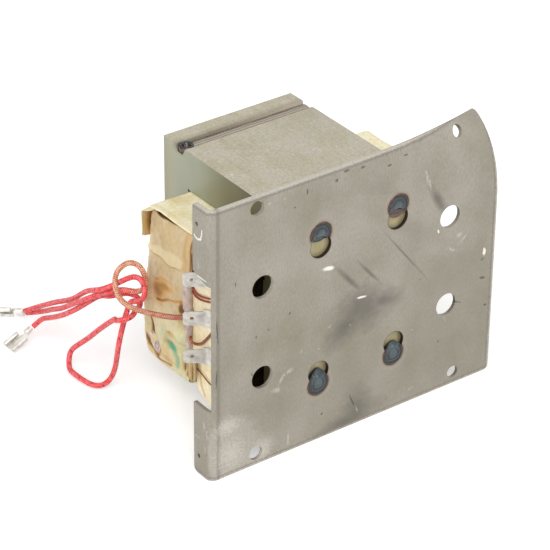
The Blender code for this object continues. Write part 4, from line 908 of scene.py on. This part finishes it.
def lead_bundle():
    """varnish-soaked ends of lead cloth that hang below the lower tab, tapering tubes with a slow wave"""
    ends = ((39.6, 29.4, 19.8, 0.7), (40.8, 29.6, 18.8, 0.7), (42.0, 29.5, 18.5, 0.7),
            (43.2, 29.2, 18.8, 0.7), (44.4, 28.8, 19.8, 0.65), (45.4, 28.0, 21.2, 0.5))
    k = np.linspace(0, 1, 24)
    for i, (y, top, low, wide) in enumerate(ends):
        z = np.linspace(top, low, 24)
        path = np.c_[19.9 + 0.35 * np.sin(i * 1.7 + k * 4) - 0.5 * k * (1 - k) * 4 * (i % 2),
                     y + 0.45 * np.sin(i * 2.3 + k * 5) * k, z]
        piece = tube_piece(f"lead_cloth_{i}", path, wide * (1 - 0.35 * k ** 3), 12, CLOTH[i % 2])
        mount(piece, "varnished_paper")


def filament_turns():
    """two turns of sleeved wire round the centre leg, the second outside the first: a rounded rectangle whose
    clearance steps from one to the other, then an arc out to the left"""
    part = np.linspace(0.035, 1.955, 420)
    rise = unit((part - 0.955) / 0.065)
    rise = rise * rise * (3 - 2 * rise)
    rounds = []
    for clear in (WIRE / 2 + 0.6, 1.5 * WIRE + GAP + 0.6):
        hx, hz, r = STACK / 2 + clear, LAM + clear, 0.6 + clear
        ring = [(-hx, 0)]
        for sx, sz, start in ((-1, 1, 180), (1, 1, 90), (1, -1, 0), (-1, -1, -90)):
            ang = np.radians(np.linspace(start, start - 90, 9))
            ring += list(zip(sx * (hx - r) + r * np.cos(ang), sz * (hz - r) + r * np.sin(ang)))
        ring = evenly(np.array(ring + [(-hx, 0)]), 0.25)
        k = np.linspace(0, 1, len(ring))
        rounds.append([np.interp(part % 1.0, k, ring[:, j]) for j in (0, 1)])
    x, z = (rounds[0][j] * (1 - rise) + rounds[1][j] * rise for j in (0, 1))
    x, z = x + CORE_X + STACK / 2, z + 3 * LAM
    ang = np.radians(np.linspace(0, 80, 14)[1:])
    x = np.concatenate([x, x[-1] - 4.6 + 4.6 * np.cos(ang), [CORE_X - 19.0]])
    z = np.concatenate([z, z[-1] + 4.6 * np.sin(ang), [3 * LAM - 3.8]])
    path = evenly(np.c_[x, np.full(len(x), PRIMARY_Y[1] + 2.45), z], 0.6)
    piece = tube_piece("filament_winding_made", path, WIRE / 2, 16, SLEEVE,
                       {"bleached": np.full(len(path) * 16 + 2, 0.35)})
    mount(piece, "red_sleeve", "filament_winding")


def joint_varnish():
    """varnish that bridges the joint of the two piles on each side face, a film over a shallow arch"""
    for side, x in (("left", CORE_X - 0.02), ("right", CORE_X + STACK + 0.02)):
        for row, low, high in (("upper", CORE_H - LAM + 0.4, CORE_H - 3.7), ("lower", 3.7, LAM - 0.4)):
            y, z = np.meshgrid(np.linspace(BACK - LAM - 1.6, SEAM_Y + 3.0, 12), np.linspace(low, high, 14))
            pts = np.stack([x + 0.004 * np.sin(z / 3), y, z], axis=-1)
            mount(mesh_piece(f"joint_varnish_{side}_{row}", pts.reshape(-1, 3), grid_faces(*y.shape), CORE),
                  "varnished_core")


coil_papers()
top_sheet()
paper_flap()
board_strip()
lead_bundle()
filament_turns()
joint_varnish()


# Welds
def seam_bead(name, top):
    """bead along the joint of E and I, nearly level with the core: an arch across it, lower towards the I,
    with crescent ripples behind the puddle's centre; the top one starts at the crater"""
    low, high = CORE_H - SEAM_DEPTH + GAP, CORE_H - 0.35
    u = np.arange(CORE_X + (5.2 if top else 0.6), CORE_X + STACK - 0.5, 0.16)
    q = np.linspace(-1, 1, 33)
    x, k = np.meshgrid(u, q, indexing="ij")
    wander = 0.16 * np.sin(x / 5.1) + 0.1 * np.sin(x / 1.9)
    y = SEAM_Y - 0.9 + 2.25 * k + wander * (1 - k ** 2)
    ripple = 0.07 * np.cos(2 * math.pi * (x + 0.9 * k ** 2) / 1.55) * (1 - k ** 4)
    z = high - 0.25 - 0.75 * unit(k - 0.2) ** 1.2 - 0.5 * unit(-k - 0.7) + ripple
    under = np.stack([x[:, ::32][:, ::-1], y[:, ::32][:, ::-1], np.full((len(u), 2), low)], axis=-1)
    pts = np.concatenate([np.stack([x, y, z], axis=-1), under], axis=1)
    cols = pts.shape[1]
    slag = 0.55 * np.exp(-((k + 0.35 - 0.1 * wander) / 0.09) ** 2)
    slag += 0.6 * np.exp(-((k - 0.2 + 0.3 * wander) / 0.08) ** 2)
    # rim rises towards the I's side as painted shade in the groove under the I's edge, and peaks on two lines
    # of slag
    rim = 0.1 + 0.85 * unit(k) ** 1.6 + 0.3 * (k < -0.9) + slag
    rim = np.concatenate([rim, np.ones((len(u), 2))], axis=1)
    ends = [tuple(range(cols))[::-1], tuple(range((len(u) - 1) * cols, len(u) * cols))]
    pts = pts.reshape(-1, 3)
    if not top:
        pts[:, 2] = CORE_H - pts[:, 2]
    quads = grid_faces(len(u), cols, wrap_cols=True)
    obj = outward(mesh_piece(name + "_made", pts, quads, SEAM, ends, {"rim": rim}))
    obj.data.set_sharp_from_angle(angle=math.radians(50))
    mount(obj, "weld_bead", name)


def seam_crater():
    """where the bead began: a raised ring with a deep cup, its section turned about an upright axis"""
    r = np.array([0, 0.7, 1.2, 1.6, 1.95, 2.3, 2.65, 3.0, 3.2, 3.3, 3.3, 0])
    h = np.array([1.0, 1.05, 1.3, 2.0, 2.7, 3.05, 3.15, 3.0, 2.5, 1.6, GAP, GAP])
    ang = np.linspace(0, 2 * math.pi, 64, endpoint=False)
    rr, aa = np.meshgrid(r, ang, indexing="ij")
    hh = np.repeat(h[:, None], 64, axis=1)
    lift = (0.16 * np.sin(3 * aa + 1) + 0.08 * np.sin(7 * aa)) * (rr > 1.4) * (hh > 1)
    pts = np.stack([CORE_X + 3.45 + rr * np.cos(aa), SEAM_Y - 0.6 + rr * np.sin(aa),
                    CORE_H - SEAM_DEPTH + hh + lift], axis=-1).reshape(-1, 3)
    # rim low on the raised ring's top, which takes the weld's lighter crown colour as a painted highlight,
    # and high in the cup for brown oxide
    rim = np.repeat([0.8, 0.9, 0.95, 0.8, 0.4, 0.1, 0.15, 0.5, 0.9, 1, 1, 1], 64)
    quads = grid_faces(len(r), 64, wrap_cols=True)
    mount(outward(mesh_piece("seam_crater", pts, quads, WELD, values={"rim": rim}), 1e-6), "weld_bead")


def plug_weld(row, col, reach, swell, shade):
    """weld over one side of a punched hole: on the plate a flat round pool with a raised oxide rim; past the
    hole's edge it reaches so many millimetres in, and sags towards the core or swells up as a bead, coloured
    lighter over the hole as a painted highlight; row 1 is the upper one, col 1 the right one"""
    name = "plug_weld_" + ("lower", "upper")[row] + ("_left", "_right")[col]
    x, z, side = PLUG_X[col], PLUG_Z[row], 2.0 * row - 1.0
    big, small = POOL_R - GAP + 0.15, PLUG_R - 0.35
    r = np.linspace(0, 1, 40)
    ang = np.linspace(0, 2 * math.pi, 96, endpoint=False)
    rr, aa = np.meshgrid(r, ang, indexing="ij")
    wob = 1 + 0.025 * np.sin(3 * aa + x) + 0.015 * np.sin(5 * aa + z)
    px, pz = big * rr * np.cos(aa) * wob, big * rr * np.sin(aa) * wob
    toward = -side * pz
    stretch = (POOL_SHIFT - PLUG_R + reach) / big
    tongue = np.clip(toward, 0, None)
    pz = np.where(toward > 0, -side * tongue * stretch, pz)
    px = px * (1 - 0.35 * unit(stretch - 1) * unit(toward / big))
    far = np.hypot(px, pz + side * POOL_SHIFT)
    dip = unit((small - far) / 1.5)
    dip = dip * dip * (3 - 2 * dip)
    out = np.clip(far - small, 0, None)
    flat = 0.10 + 0.22 * unit(1 - rr) + 0.14 * np.exp(-((rr - 0.86) / 0.07) ** 2)
    ring = 0.05 * np.sin(out * 2 * math.pi / 1.5 + 0.5 * np.sin(2 * aa)) * unit((1 - rr) * 6)
    hollow = 0.35 * np.exp(-(out / 1.1) ** 2) * (1 - 0.8 * swell)
    sag = 1.15 - 1.3 * swell * np.exp(-((small - far - 1.4) / 1.5) ** 2)
    top = -(flat + ring - hollow) * (1 - dip) + dip * sag
    top = np.where(rr > 0.985, np.maximum(top, 0.12), top)
    low = np.where(far < small, PLATE_T, POOL_DEPTH - GAP)
    front = np.stack([x + px, top, z + side * POOL_SHIFT + pz], axis=-1)
    back = np.stack([x + px, np.maximum(low, top + 0.1), z + side * POOL_SHIFT + pz], axis=-1)[::-1]
    pts = np.concatenate([front, back]).reshape(-1, 3)
    rim = unit((rr - 0.62) * 2.6) + 0.35 * np.exp(-((rr - 0.5) / 0.1) ** 2)
    # over the hole and just past its edge rim falls, so the weld's lighter crown colour paints a highlight
    # there; shade raises it again, darkening the part over the hole
    rim = rim * (1 - 0.7 * dip) - 0.12 * np.exp(-(out / 1.2) ** 2) + shade * dip
    quads = grid_faces(2 * len(r), 96, wrap_cols=True)
    values = {"rim": np.concatenate([rim, rim[::-1]])}
    obj = outward(mesh_piece(name + "_made", pts, quads, WELD, values=values), 1e-6)
    obj.data.set_sharp_from_angle(angle=math.radians(55))
    mount(obj, "weld_bead", name)


seam_bead("seam_weld_top", True)
seam_bead("seam_weld_bottom", False)
seam_crater()
for row, col, reach, swell, shade in ((1, 0, 3.2, 0.0, 0.1), (1, 1, 5.4, 0.2, 0.9), (0, 0, 6.2, 1.0, 0.1),
                                      (0, 1, 4.8, 0.9, 0.0)):
    plug_weld(row, col, reach, swell, shade)
